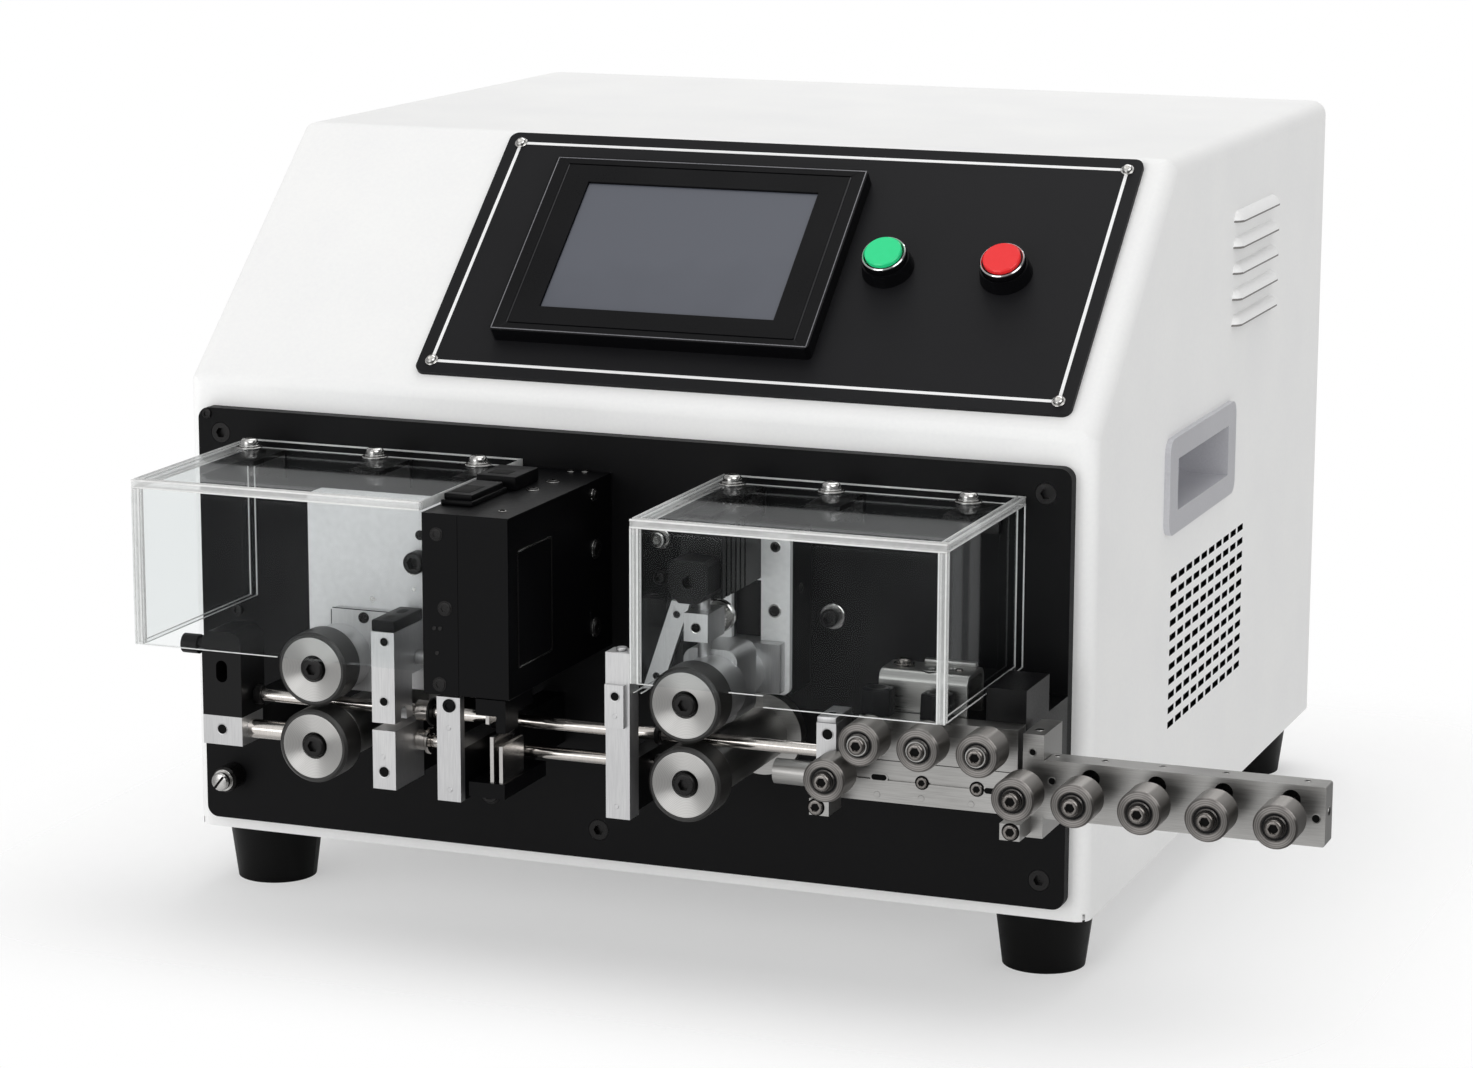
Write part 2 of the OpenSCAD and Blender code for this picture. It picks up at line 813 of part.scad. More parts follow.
// Round scoop of the handle pocket
module pocket_scoop() {
    cylinder(h = pocket_l + 2 * cut, r = min(pocket_d, pocket_h) / 2);
    translate([0, -pocket_h, 0]) cube([pocket_d, pocket_h, pocket_l + 2 * cut]);
}

module side_handles() {
    color(silver) {
        handle();
        translate([case_w, 0, 0]) mirror([1, 0, 0]) handle();
    }
}

// Body of the mains inlet behind the rear panel, grown by gap
module inlet_body(gap) {
    slab(inlet_x - inlet_w / 2 + 4 - gap, inlet_x + inlet_w / 2 - 4 + gap, case_d - 36, case_d + cut,
         inlet_z - inlet_h / 2 + 4 - gap, inlet_z + inlet_h / 2 - 4 + gap);
}

module power_inlet() {
    socket_w = 24;
    socket_h = 17;
    socket_d = 18;
    socket_z = inlet_z - 14;
    pin_w = 2;
    pin_h = 4;
    pin_l = 12;
    color(black) {
        difference() {
            union() {
                along_y(case_d, case_d + inlet_flange)
                    rounded_rect(inlet_x - inlet_w / 2, inlet_x + inlet_w / 2,
                                 inlet_z - inlet_h / 2, inlet_z + inlet_h / 2, 3);
                slab(inlet_x - inlet_w / 2 + 4, inlet_x + inlet_w / 2 - 4, case_d - 36, case_d,
                     inlet_z - inlet_h / 2 + 4, inlet_z + inlet_h / 2 - 4);
            }
            slab(inlet_x - socket_w / 2, inlet_x + socket_w / 2, case_d + inlet_flange - socket_d,
                 case_d + inlet_flange + cut, socket_z - socket_h / 2, socket_z + socket_h / 2);
            slab(inlet_x - rocker_w / 2 - move_gap, inlet_x + rocker_w / 2 + move_gap,
                 rocker_y - rocker_r - 1, case_d + inlet_flange + cut,
                 rocker_z - rocker_h / 2 - 1.5, rocker_z + rocker_h / 2 + 1.5);
        }
        for (k = [[-7, -2], [0, 2], [7, -2]])
            slab(inlet_x + k[0] - pin_w / 2, inlet_x + k[0] + pin_w / 2,
                 case_d + inlet_flange - socket_d, case_d + inlet_flange - socket_d + pin_l,
                 socket_z + k[1] - pin_h / 2, socket_z + k[1] + pin_h / 2);
        for (s = [-1, 1]) bar_x(rocker_y, rocker_z, inlet_x + s * (rocker_w / 2 - 1) - 1.3,
                                inlet_x + s * (rocker_w / 2 - 1) + 1.3, 3);
    }
}

module power_rocker() {
    pin_d = 3 + 2 * run_gap;
    color([0.75, 0.08, 0.08]) difference() {
        intersection() {
            bar_x(rocker_y, rocker_z, inlet_x - rocker_w / 2, inlet_x + rocker_w / 2, 2 * rocker_r);
            slab(inlet_x - rocker_w, inlet_x + rocker_w, rocker_y - 5, case_d + inlet_flange + rocker_proud,
                 rocker_z - rocker_h / 2 + 0.8, rocker_z + rocker_h / 2 - 0.8);
        }
        for (s = [-1, 1]) bar_x(rocker_y, rocker_z, inlet_x + s * rocker_w / 2 - 2.8,
                                inlet_x + s * rocker_w / 2 + 2.8, pin_d);
    }
}

module power_supply() {
    w = 98;
    h = 42;
    slot_n = 9;
    slot_w = 7;
    slot_in = 14;
    slot_pitch = supply_l / 10;
    color(silver) translate([case_w - supply_in - supply_l, case_d - supply_in - w, base_t]) difference() {
        cube([supply_l, w, h]);
        for (i = [1:slot_n]) translate([i * slot_pitch - slot_w / 2, slot_in, h - cut])
            cube([slot_w, w - 2 * slot_in, 2 * cut]);
    }
}

module control_board() {
    w = 100;
    stand = 12;
    leg_d = 6;
    board_t = 1.6;
    x0 = board_in;
    l = case_w - supply_in - supply_l - board_in - board_gap;
    y0 = case_d - w - 130;
    color([0.10, 0.35, 0.18]) translate([x0, y0, base_t]) {
        for (x = [leg_d, l - leg_d], y = [leg_d, w - leg_d]) translate([x, y, 0]) cylinder(h = stand, d = leg_d);
        translate([0, 0, stand]) cube([l, w, board_t]);
        translate([l / 8, w / 8, stand + board_t]) cube([l / 2, w / 5, w / 4]);
        for (i = [0:3]) translate([l / 8 + i * l / 5, 0.78 * w, stand + board_t]) cube([l / 7, w / 8, w / 10]);
        translate([0.72 * l, 0.4 * w, stand + board_t]) cube([l / 8, l / 8, board_t]);
    }
}

// Stepper motor on stand-offs behind the front plate
module stepper(x, z, w, l, bolt, bore_d, stand_d) {
    chamfer = 5;
    difference() {
        union() {
            along_y(motor_y, motor_y + l) translate([x, z]) polygon([
                for (a = [0:90:270], s = [-1, 1])
                    let (u = w / 2, v = s * (w / 2 - chamfer))
                    [u * cos(a) - v * sin(a), u * sin(a) + v * cos(a)]
            ]);
            for (i = [-1, 1], k = [-1, 1]) bar_y(x + i * bolt, z + k * bolt, 0, motor_y, stand_d);
        }
        bar_y(x, z, motor_y - cut, motor_y + 14, bore_d);
    }
}

module stepper_motors() {
    color(black) {
        for (x = [feed_left_x, feed_right_x])
            stepper(x, lower_z, motor_w, motor_l, motor_bolt, spindle_d + 2 * move_gap, 8);
        stepper(pinion_x, cutter_axis_z, cutter_motor_w, cutter_motor_l, cutter_motor_bolt,
                cutter_spindle_d + 2 * move_gap, 6);
    }
}

// Bearing tubes of the lower feed spindles
module spindle_housings() {
    flange_t = 6;
    color(silver) for (x = [feed_left_x, feed_right_x]) difference() {
        union() {
            bar_y(x, lower_z, housing_f, plate_f, housing_d);
            bar_y(x, lower_z, plate_f - flange_t, plate_f, housing_d + 12);
        }
        bar_y(x, lower_z, housing_f - cut, plate_f + cut, spindle_d + 2 * run_gap);
    }
}

// Standing bracket that guides the left upper roller
module left_bracket() {
    rib = 8;
    screw_in = 31.1;
    screw_up = 37.7;
    screw_d = 5.5;
    color(silver) difference() {
        union() {
            along_y(bracket_f, bracket_f + bracket_t)
                rounded_rect(bracket_x0, bracket_x1, bracket_z0, bracket_z1, 3);
            for (x = [bracket_x0, bracket_x1 - rib])
                slab(x, x + rib, bracket_f + bracket_t - cut, plate_f, bracket_z0, rib_z1);
        }
        slab(feed_left_x - tongue_w / 2 - move_gap, feed_left_x + tongue_w / 2 + move_gap,
             bracket_f - cut, bracket_f + bracket_t + cut, upper_z - tongue_h / 2 - move_gap,
             upper_z + tongue_h / 2 + feed_lift + move_gap);
        bar_y(feed_left_x + screw_in, upper_z + screw_up, bracket_f - cut, bracket_f + bracket_t + cut,
              screw_d);
    }
}

// Silver plate that guides the right upper roller, on its black block
module right_bracket() {
    color(silver) difference() {
        along_y(right_block_f, right_block_f + right_plate_t)
            rounded_rect(right_block_x0, right_block_x1, right_block_z0, right_block_z1, 3);
        right_groove();
    }
}

// Groove for the slide foot of the right carriage
module right_groove() {
    slab(feed_right_x - tongue_w / 2 - move_gap, feed_right_x + tongue_w / 2 + move_gap,
         right_block_f - cut, right_block_f + groove_d, right_block_z0 - cut, press_z0 - cut);
}

// Black blocks that carry guides, press and straightener on the front plate
module mounting_blocks() {
    block_w = 16;
    lever_post_z = lever_z[0] + 14;
    color(black) {
        arm_block(outlet_x + 1, outlet_w - 2, arm_block_front, outlet_z0 - 1, outlet_z1);
        arm_block(guide_left_x + 1, post_guide_w - 2, arm_block_front, arm_block_z0, arm_block_z1);
        difference() {
            arm_block(mid_x0, post_guide_w, mid_f + mid_t, arm_block_z0, arm_block_z1);
            bar_x(-rod_y, rod_low_z, mid_x0 - cut, mid_x0 + post_guide_w + cut, rod_d + 2 * run_gap);
        }
        difference() {
            arm_block(guide_right_x + 1, post_guide_w - 2, right_guide_f + right_guide_t, arm_block_z0,
                      arm_block_z1);
            bar_x(-rod_y, rod_low_z, guide_right_x - cut, guide_right_x + post_guide_w + cut,
                  rod_d + 2 * run_gap);
        }
        difference() {
            slab(right_block_x0, right_block_x1, right_block_f + right_plate_t, plate_f, right_block_z0,
                 right_block_z1);
            right_groove();
            along_y(right_block_f, plate_f + cut)
                slot_z(feed_right_x, upper_z - spindle_d / 2 - cut,
                       upper_z + spindle_d / 2 + feed_lift + cut, spindle_d + 2);
        }
        press_head();
        arm_block(lever_x[0] + lever_w, lever_w, lever_y + lever_t, lever_post_z, lever_post_z + lever_w);
        slab(carrier_x0, slide_x1, base_back, plate_f, base_z0, base_z1);
        slab(carrier_x0, slide_x1, carrier_f, plate_f, base_z1, carrier_z1);
        slab(slide_x1 - block_w, slide_x1, carrier_f, carrier_f + 30, carrier_z1, carrier_z1 + 15);
    }
}

// Press head over the right upper roller: a chamfered nose on a taller ribbed body
module press_head() {
    chamfer = 4;
    rib_n = 5;
    rib_pitch = 5;
    rib_gap = 1.6;
    rib_depth = 1.2;
    x0 = press_x - press_w / 2;
    x1 = press_x + press_w / 2;
    difference() {
        union() {
            along_y(press_f, press_step_y + cut) polygon([
                [x0, press_z0 + chamfer], [x0 + chamfer, press_z0], [x1 - chamfer, press_z0],
                [x1, press_z0 + chamfer], [x1, press_z1 - chamfer / 2], [x1 - chamfer / 2, press_z1],
                [x0 + chamfer / 2, press_z1], [x0, press_z1 - chamfer / 2]
            ]);
            slab(x0, x1 + rib_depth, press_step_y, right_block_f, press_z0, press_back_z1);
        }
        for (i = [1:rib_n]) slab(x1, x1 + rib_depth + cut, press_step_y + i * rib_pitch - rib_gap,
                                 press_step_y + i * rib_pitch, press_z0 - cut, press_back_z1 + cut);
        bar_z(press_x, press_rod_y, press_z0 - cut, press_z1 + feed_lift + cut, press_rod_d + 2 * run_gap);
        bar_y(press_x, (press_z0 + press_z1) / 2, press_f - cut, press_f + chamfer, press_rod_d);
    }
}

// Black arm from a guide back to the front plate
module arm_block(x, w, front, z0, z1) {
    slab(x, x + w, front, plate_f, z0, z1);
}

// Silver blocks along the wire: outlet, left, middle and right guide, and the inlet guide
module wire_guides() {
    tube_d = 7.5;
    tube_l = 17;
    hole_d = 5;
    latch_in = 0.5;
    latch_w = 7.8;
    latch_t = 2.2;
    latch_up = 6.6;
    latch_h = 17.1;
    notch = 5;
    gx = guide_left_x;
    ix = inlet_block_x0;
    color(silver) {
        difference() {
            union() {
                slab(outlet_x, outlet_x + outlet_w, outlet_f, arm_block_front, outlet_z0, outlet_z1);
                bar_x(outlet_f + 8, outlet_z0 + 6, outlet_x, outlet_x + outlet_w + tube_l, tube_d);
            }
            bar_x(outlet_f + 8, outlet_z0 + 6, outlet_x - cut, outlet_x + outlet_w + tube_l + cut, hole_d);
        }
        difference() {
            union() {
                slab(gx, gx + post_guide_w, left_guide_f, left_guide_f + 16, wire_z - 3, wire_z + 34);
                slab(gx, gx + post_guide_w, left_guide_f + 15, carriage_f - move_gap, wire_z + 14, wire_z + 34);
                slab(gx + 2, gx + post_guide_w, carriage_f - cut, bracket_f, wire_z + 24, wire_z + 34);
            }
            bar_x(-wire_y, wire_z, gx - cut, gx + post_guide_w + cut, notch);
            slab(gx - cut, gx + post_guide_w + cut, -wire_y - notch / 2, -wire_y + notch / 2, wire_z - 4, wire_z);
        }
        difference() {
            slab(gx, gx + post_guide_w, left_guide_f, arm_block_front, guide_z0, wire_z - 6);
            bar_x(-rod_y, rod_low_z, gx - cut, gx + post_guide_w + cut, rod_d + 2 * run_gap);
        }
        slab(mid_x0, mid_x0 + post_guide_w, mid_f, mid_f + mid_t, guide_z0 + 1, cutter_z0 - 1);
        slab(guide_right_x, guide_right_x + post_guide_w, right_guide_f, right_guide_f + right_guide_t, guide_z0,
             wire_z + 36);
        lever();
        slab(guide_right_x + latch_in, guide_right_x + latch_in + latch_w, right_guide_f - latch_t,
             right_guide_f, wire_z + latch_up, wire_z + latch_up + latch_h);
        difference() {
            slab(ix, ix + inlet_block_w, -rod_y - 4, slide_back, base_z1, base_z1 + 15);
            bar_x(-rod_y, rod_up_z, ix - cut, ix + 4, rod_d + 2 * run_gap);
        }
    }
}

// Leaning release lever with two holes
module lever() {
    hole_d = 3;
    lean = [lever_x[1] - lever_x[0], lever_z[1] - lever_z[0]];
    along_y(lever_y, lever_y + lever_t) difference() {
        polygon([
            [lever_x[0], lever_z[0]], [lever_x[0] + lever_w, lever_z[0]],
            [lever_x[1] + lever_w, lever_z[1]], [lever_x[1], lever_z[1]]
        ]);
        for (k = [0.15, 0.85])
            translate([lever_x[0] + lever_w / 2, lever_z[0]] + k * lean) circle(d = hole_d);
    }
}

module guide_rods() {
    color(silver) {
        bar_x(-rod_y, rod_up_z, rod_x0, inlet_block_x0 + 4, rod_d);
        bar_x(-rod_y, rod_low_z, guide_left_x - 5, guide_right_x + post_guide_w + 4, rod_d);
    }
}

// Black slotted bracket at the wire outlet, with its clamping pin
module outlet_bracket() {
    slot_w = 5;
    back = -70;
    pin_d = 5;
    color(black) difference() {
        union() {
            along_y(outlet_f, back) {
                translate([outlet_x, outlet_z1]) square([outlet_w, outlet_top - outlet_z1 - 5]);
                rounded_rect(outlet_x, outlet_x + outlet_w, outlet_top - 15, outlet_top, 5);
            }
            bar_x(outlet_f + 8, outlet_top - 8, outlet_x - 12, outlet_x + cut, pin_d);
            bar_x(outlet_f + 8, outlet_top - 8, outlet_x - 12, outlet_x - 5, pin_d + 3);
        }
        along_y(outlet_f - cut, back + cut)
            slot_z(outlet_x + outlet_w / 2, outlet_z1 + 14, outlet_top - 12, slot_w);
        bar_x(-rod_y, rod_up_z, rod_x0, outlet_x + outlet_w + cut, rod_d + 2 * run_gap);
    }
}

// Plate beside the cutter with three screw holes in its narrow front
module cutter_side_plate() {
    hole_d = 4;
    hole_depth = 4;
    holes = [[6.9, 4.1], [9.5, 34.6], [6.2, 63.8]];
    color(black) difference() {
        slab(cutter_x0, cutter_x1, cutter_f, plate_f, cutter_z0, cutter_z1);
        for (p = holes)
            bar_y(cutter_x0 + p[0], cutter_z0 + p[1], cutter_f - cut, cutter_f + hole_depth, hole_d);
    }
}

// Hollow cutter housing, open below
module cutter_housing() {
    color(black) difference() {
        slab(cutter_x1, cutter_x2, cutter_f, plate_f, cutter_z0, cutter_z1);
        slab(cutter_x1 + cutter_wall, cutter_x2 - cutter_wall, cutter_f + cutter_wall, plate_f - cutter_wall,
             cutter_z0 - cut, cutter_z1 - cutter_wall);
        bar_y(pinion_x, cutter_axis_z, plate_f - cutter_wall - cut, plate_f + cut, cutter_spindle_d + 2);
    }
}

// Drive spindle with the long pinion that moves both blade racks
module cutter_spindle() {
    color(steel) {
        bar_y(pinion_x, cutter_axis_z, cutter_f + cutter_wall + move_gap, motor_y + 8, cutter_spindle_d);
        translate([pinion_x, lower_stem_y1, cutter_axis_z]) rotate([90, 0, 0])
            linear_extrude(lower_stem_y1 - upper_rack_y0)
                gear_outline(pinion_teeth, pinion_module, tooth_up, tooth_down);
    }
}

// Rack outline seen along Y, teeth towards negative X from the pitch line at x = 0
module rack_outline(z0, z1, thick) {
    root = 0.31 * rack_pitch;
    tip = 0.11 * rack_pitch;
    translate([tooth_down, z0]) square([thick - tooth_down, z1 - z0]);
    for (i = [-rack_half:rack_half - 1]) translate([0, (i + 0.5) * rack_pitch]) polygon([
        [tooth_down + 0.1, -root], [-tooth_up, -tip], [-tooth_up, tip], [tooth_down + 0.1, root]
    ]);
}

module upper_blade_holder() {
    head_z0 = cutter_z0 - 7;
    head_z1 = cutter_z0 - 0.5;
    body = rack_out - pinion_r;
    cheek_t = 4;
    color(black) difference() {
        union() {
            along_y(upper_rack_y0, upper_rack_y1) translate([pinion_x + pinion_r, cutter_axis_z])
                rack_outline(head_z0 - cutter_axis_z, 4.6 * rack_pitch, body);
            slab(pinion_x - 4, pinion_x + rack_out, upper_rack_y0 - 2, blade_y1 + 2, head_z0, head_z1);
            slab(pinion_x + rack_out - cheek_t, pinion_x + rack_out, upper_rack_y0 - 2, upper_rack_y1,
                 wire_z + 0.5, head_z1);
        }
        slab(pinion_x - blade_t - 0.15, pinion_x - 0.15, blade_y0, blade_y1, head_z0 - cut, head_z0 + 4);
    }
}

// Cutting blade with a V edge, z is the edge height and dir the side of the shank
module blade(x, z, dir, shank) {
    notch = 2;
    mid = (blade_y0 + blade_y1) / 2;
    along_x(x, x + blade_t) polygon([
        [blade_y0, z], [mid - notch, z], [mid, z + dir * notch], [mid + notch, z],
        [blade_y1, z], [blade_y1, shank], [blade_y0, shank]
    ]);
}

module upper_blade() {
    color(silver) blade(pinion_x - blade_t - 0.15, wire_z + blade_open, 1, cutter_z0 - 3);
}

module lower_blade_holder() {
    body = rack_out - pinion_r;
    stem_t = 4;
    x0 = pinion_x - rack_out;
    rack_z0 = cutter_axis_z - 4.6 * rack_pitch;
    color(black) difference() {
        union() {
            along_y(lower_stem_y0, lower_stem_y1) translate([pinion_x - pinion_r, cutter_axis_z])
                mirror([1, 0]) rack_outline(-5 * rack_pitch, 4.6 * rack_pitch, body);
            slab(x0, x0 + stem_t, lower_stem_y0, lower_stem_y1, foot_z0, rack_z0);
            slab(x0, pinion_x + rack_out - 2, blade_y0 - 1, lower_stem_y1, foot_z0, foot_z1);
        }
        slab(pinion_x + 0.15, pinion_x + 0.15 + blade_t, blade_y0, blade_y1, foot_z1 - 4, foot_z1 + cut);
    }
}

module lower_blade() {
    strip_x = pinion_x + 4;
    strip_z1 = wire_z - 2 * blade_travel;
    color(silver) {
        blade(pinion_x + 0.15, wire_z - blade_open, -1, foot_z1 - 4);
        slab(strip_x, strip_x + blade_t, blade_y0, blade_y1, foot_z1, strip_z1);
    }
}

// Feed roller hub with its spindle and drive gear
module feed_roller(x, z, end, turn) {
    counterbore_d = 11;
    counterbore = 4;
    dish = 1.4;
    difference() {
        union() {
            bar_y(x, z, roller_f, tyre_back + ring_t, hub_d);
            bar_y(x, z, tyre_back, tyre_back + ring_t, ring_od);
            bar_y(x, z, tyre_back, end, spindle_d);
        }
        bar_y(x, z, roller_f - cut, roller_f + counterbore, counterbore_d);
        translate([x, roller_f, z]) rotate([-90, 0, 0]) cylinder(h = dish, d1 = hub_d - cut, d2 = counterbore_d);
    }
    difference() {
        translate([x, gear_y0 + gear_w, z]) rotate([90, 0, 0]) linear_extrude(gear_w)
            rotate([0, 0, turn])
                gear_outline(gear_teeth, feed_dist / gear_teeth, 0.9 * feed_dist / gear_teeth,
                             1.15 * feed_dist / gear_teeth);
        bar_y(x, z, gear_y0 - cut, gear_y0 + gear_w + cut, spindle_d);
    }
}

// Rubber tyre of a feed roller with chamfered edges
module feed_tyre(x, z) {
    chamfer = 1;
    translate([x, tyre_back, z]) rotate([90, 0, 0]) rotate_extrude()
        polygon([
            [hub_d / 2, 0], [roller_d / 2 - chamfer, 0], [roller_d / 2, chamfer],
            [roller_d / 2, tyre_w - chamfer], [roller_d / 2 - chamfer, tyre_w], [hub_d / 2, tyre_w]
        ]);
}

module left_lower_roller() {
    color(silver) feed_roller(feed_left_x, lower_z, spindle_end, 90);
}

module left_lower_tyre() {
    color(rubber) feed_tyre(feed_left_x, lower_z);
}

module left_upper_roller() {
    color(silver) feed_roller(feed_left_x, upper_z, upper_end, 90);
}

module left_upper_tyre() {
    color(rubber) feed_tyre(feed_left_x, upper_z);
}

module right_lower_roller() {
    color(silver) feed_roller(feed_right_x, lower_z, spindle_end, 90);
}

module right_lower_tyre() {
    color(rubber) feed_tyre(feed_right_x, lower_z);
}

module right_upper_roller() {
    color(silver) feed_roller(feed_right_x, upper_z, upper_end, 90);
}

module right_upper_tyre() {
    color(rubber) feed_tyre(feed_right_x, upper_z);
}

// Bearing plate that carries the left upper roller and slides on the bracket
module left_carriage() {
    x0 = feed_left_x - 4.7;
    x1 = guide_left_x - 1.5;
    color(silver) difference() {
        union() {
            along_y(carriage_f, bracket_f - move_gap)
                rounded_rect(x0, x1, carriage_z0, upper_z + 20, 3);
            bar_y(feed_left_x, upper_z, housing_f, carriage_f + cut, upper_boss_d);
            slab(feed_left_x - tongue_w / 2, feed_left_x + tongue_w / 2, carriage_f,
                 bracket_f + bracket_t, upper_z - tongue_h / 2, upper_z + tongue_h / 2);
        }
        bar_y(feed_left_x, upper_z, housing_f - cut, bracket_f + bracket_t + cut, spindle_d + 2 * run_gap);
    }
}

// Bearing block of the right upper roller with its slide foot, press rod and clevis
module right_carriage() {
    clevis_w = 10;
    clevis_z0 = right_body_z1 + 5;
    clevis_z1 = press_z0 - feed_lift - 1.5;
    foot_f = right_block_f - move_gap - foot_plate_t;
    color(silver) {
        difference() {
            union() {
                along_y(right_body_f, right_body_back)
                    rounded_rect(right_body_x0, right_body_x1, carriage_z0, right_body_z1, 5);
                bar_y(feed_right_x, upper_z, housing_f, right_body_f + cut, upper_boss_d);
                bar_y(feed_right_x, upper_z, right_body_back - cut, right_block_f - move_gap, spindle_d + 10);
                slab(right_block_x0 + 2, right_block_x1 - 2, foot_f, right_block_f - move_gap,
                     upper_z - 8, upper_z + 12);
                slab(feed_right_x - tongue_w / 2, feed_right_x + tongue_w / 2, foot_f,
                     right_block_f + groove_d - move_gap, upper_z - 8, upper_z + 12);
            }
            bar_y(feed_right_x, upper_z, housing_f - cut, right_block_f + groove_d, spindle_d + 2 * run_gap);
        }
        bar_z(press_x, press_rod_y, upper_z + upper_boss_d / 2 - 2, press_z1 - 2, press_rod_d);
        difference() {
            slab(press_x - clevis_w / 2, press_x + clevis_w / 2, press_rod_y - 9, press_rod_y + 9,
                 clevis_z0, clevis_z1);
            bar_z(press_x, press_rod_y, clevis_z0 - cut, clevis_z1 + cut, press_rod_d);
        }
    }
}

// Base bar of the straightener with its end post and the inlet tube
module straightener_base() {
    groove_h = 0.8;
    groove_d = 0.8;
    groove_up = 8.7;
    inlet_tube_d = 10;
    inlet_tube_l = 26;
    lug_w = 8;
    lug_l = 14;
    lug_h = 6.5;
    tube_y = base_f + 6;
    tube_z = base_z0 + 6.5;
    stud_hole = stud_d + 2 * run_gap;
    color(silver) {
        difference() {
            slab(base_x0, base_x1, base_f, base_back, base_z0, base_z1);
            slab(base_x0 - cut, base_x1 + cut, base_f - cut, base_f + groove_d, base_z0 + groove_up,
                 base_z0 + groove_up + groove_h);
            bar_y(low_left_x, roller_low_z, base_f - cut, base_f + 10, stud_hole);
        }
        difference() {
            slab(base_x1, post_x1, base_f, base_back, post_z0, post_z1);
            bar_y(low_right_x, roller_low_z, base_f - cut, base_f + 10, stud_hole);
        }
        for (p = [[base_x0 + 3, base_z0 + 2.5], [base_x1 + 3.5, base_z0 + 0.5]])
            slab(p[0] - lug_w, p[0], base_f - lug_l, base_f, p[1] - lug_h, p[1]);
        difference() {
            bar_x(tube_y, tube_z, base_x0 - inlet_tube_l, base_x0, inlet_tube_d);
            bar_x(tube_y, tube_z, base_x0 - inlet_tube_l - cut, base_x0 + cut, inlet_tube_d - 4);
        }
    }
}

// Places of the rollers on the arm
arm_roller_x = [for (i = [0:3]) post_x1 + arm_first + i * arm_pitch];

// Arm outside the case with a keyhole slot at each roller
module straightener_arm() {
    key_d = 7.2;
    slot_w = stud_d + 2 * run_gap;
    slot_low = 7.5;
    color(silver) along_y(base_f, arm_back) difference() {
        rounded_rect(post_x1, arm_x1, arm_z0, arm_z0 + arm_h, 1);
        for (x = arm_roller_x) {
            translate([x, roller_low_z + 4.3]) circle(d = key_d);
            slot_z(x, roller_low_z - slot_low, roller_low_z + 4.3, slot_w);
        }
    }
}

// Sheet clamp over the upper rollers and the black adjusters beside it
module straightener_clamp() {
    sheet = 2;
    x0 = slide_x0 + 4;
    x1 = x0 + 36;
    back = carrier_f + 22;
    clear = 14;
    top = carrier_z1 + clear + slide_lift;
    color(silver) difference() {
        along_x(x0, x1) difference() {
            rounded_rect(carrier_f + 1, back, carrier_z1 - 6, top, 4);
            rounded_rect(carrier_f + 1 + sheet, back - sheet, carrier_z1 - 12, top - sheet, 2.5);
            translate([carrier_f - cut, carrier_z1 - 20]) square([40, 20]);
        }
        for (x = [x0 + 9, x1 - 9]) bar_z(x, (carrier_f + back) / 2, top - sheet - cut, top + cut, 5);
    }
}

// Shouldered stud that a straightening roller turns on
module stud(x, z, depth) {
    head_t = 1.3;
    bar_y(x, z, straight_f - move_gap, base_f + depth, stud_d);
    bar_y(x, z, straight_back + move_gap, base_f, collar_d);
    difference() {
        bar_y(x, z, straight_f - move_gap - head_t, straight_f - move_gap, stud_head_d);
        translate([x, straight_f - move_gap - head_t - cut, z]) rotate([-90, 0, 0])
            cylinder(h = cut + 0.9, d = 3.4, $fn = 6);
    }
}

module roller_studs() {
    color(steel) {
        for (x = [low_left_x, low_right_x]) stud(x, roller_low_z, 8);
        for (x = arm_roller_x) stud(x, roller_low_z, arm_t);
    }
}

// Places of the upper straightening rollers
upper_roller_x = [for (i = [0:2]) upper_x + i * upper_pitch];

// Height-adjustable bar with the studs of the upper rollers and its two adjuster posts
module straightener_slide() {
    post_d = 11;
    post_h = 10;
    mid_y = (base_f + slide_back) / 2;
    color(silver) difference() {
        slab(slide_x0, slide_x1, base_f, slide_back, slide_z0, slide_z1);
        for (x = upper_roller_x) bar_y(x, roller_up_z, base_f - cut, slide_back + cut, stud_d + 2 * run_gap);
    }
    color(steel) for (x = upper_roller_x) stud(x, roller_up_z, slide_back - base_f);
    color(black) for (x = [slide_x0 + 6, slide_x0 + 30]) difference() {
        translate([x, mid_y, slide_z1]) cylinder(h = post_h, d = post_d, $fn = 6);
        translate([x, mid_y, slide_z1 + post_h - 5]) cylinder(h = 5 + cut, d = 5, $fn = 6);
    }
}

// Steel straightening roller with chamfered edges
module straight_roller(x, z) {
    chamfer = 0.8;
    r = straight_d / 2;
    bore = stud_d / 2 + run_gap;
    recess_r = r - 3;
    recess = 1;
    color(steel) translate([x, straight_back, z]) rotate([90, 0, 0]) rotate_extrude()
        polygon([
            [bore, 0], [r - chamfer, 0], [r, chamfer], [r, straight_l - chamfer], [r - chamfer, straight_l],
            [recess_r, straight_l], [recess_r - recess, straight_l - recess],
            [stud_head_d / 2 + 0.6, straight_l - recess], [stud_head_d / 2, straight_l], [bore, straight_l]
        ]);
}

// Left cover: top, front and left wall, open below and to the right
module left_cover() {
    x0 = left_cover_x0;
    x1 = left_cover_x1;
    t = cover_t;
    color(clear) difference() {
        union() {
            cover_block(x0, x1, left_cover_z0, 0);
            slab(x0, x0 + t, plate_f - tab_w, plate_f, tab_z0, left_cover_z0 + cut);
        }
        cover_block(x0 + t, x1 + t + cut, left_cover_z0 - cut, t);
        clip_holes(x0, left_clip_in);
    }
}

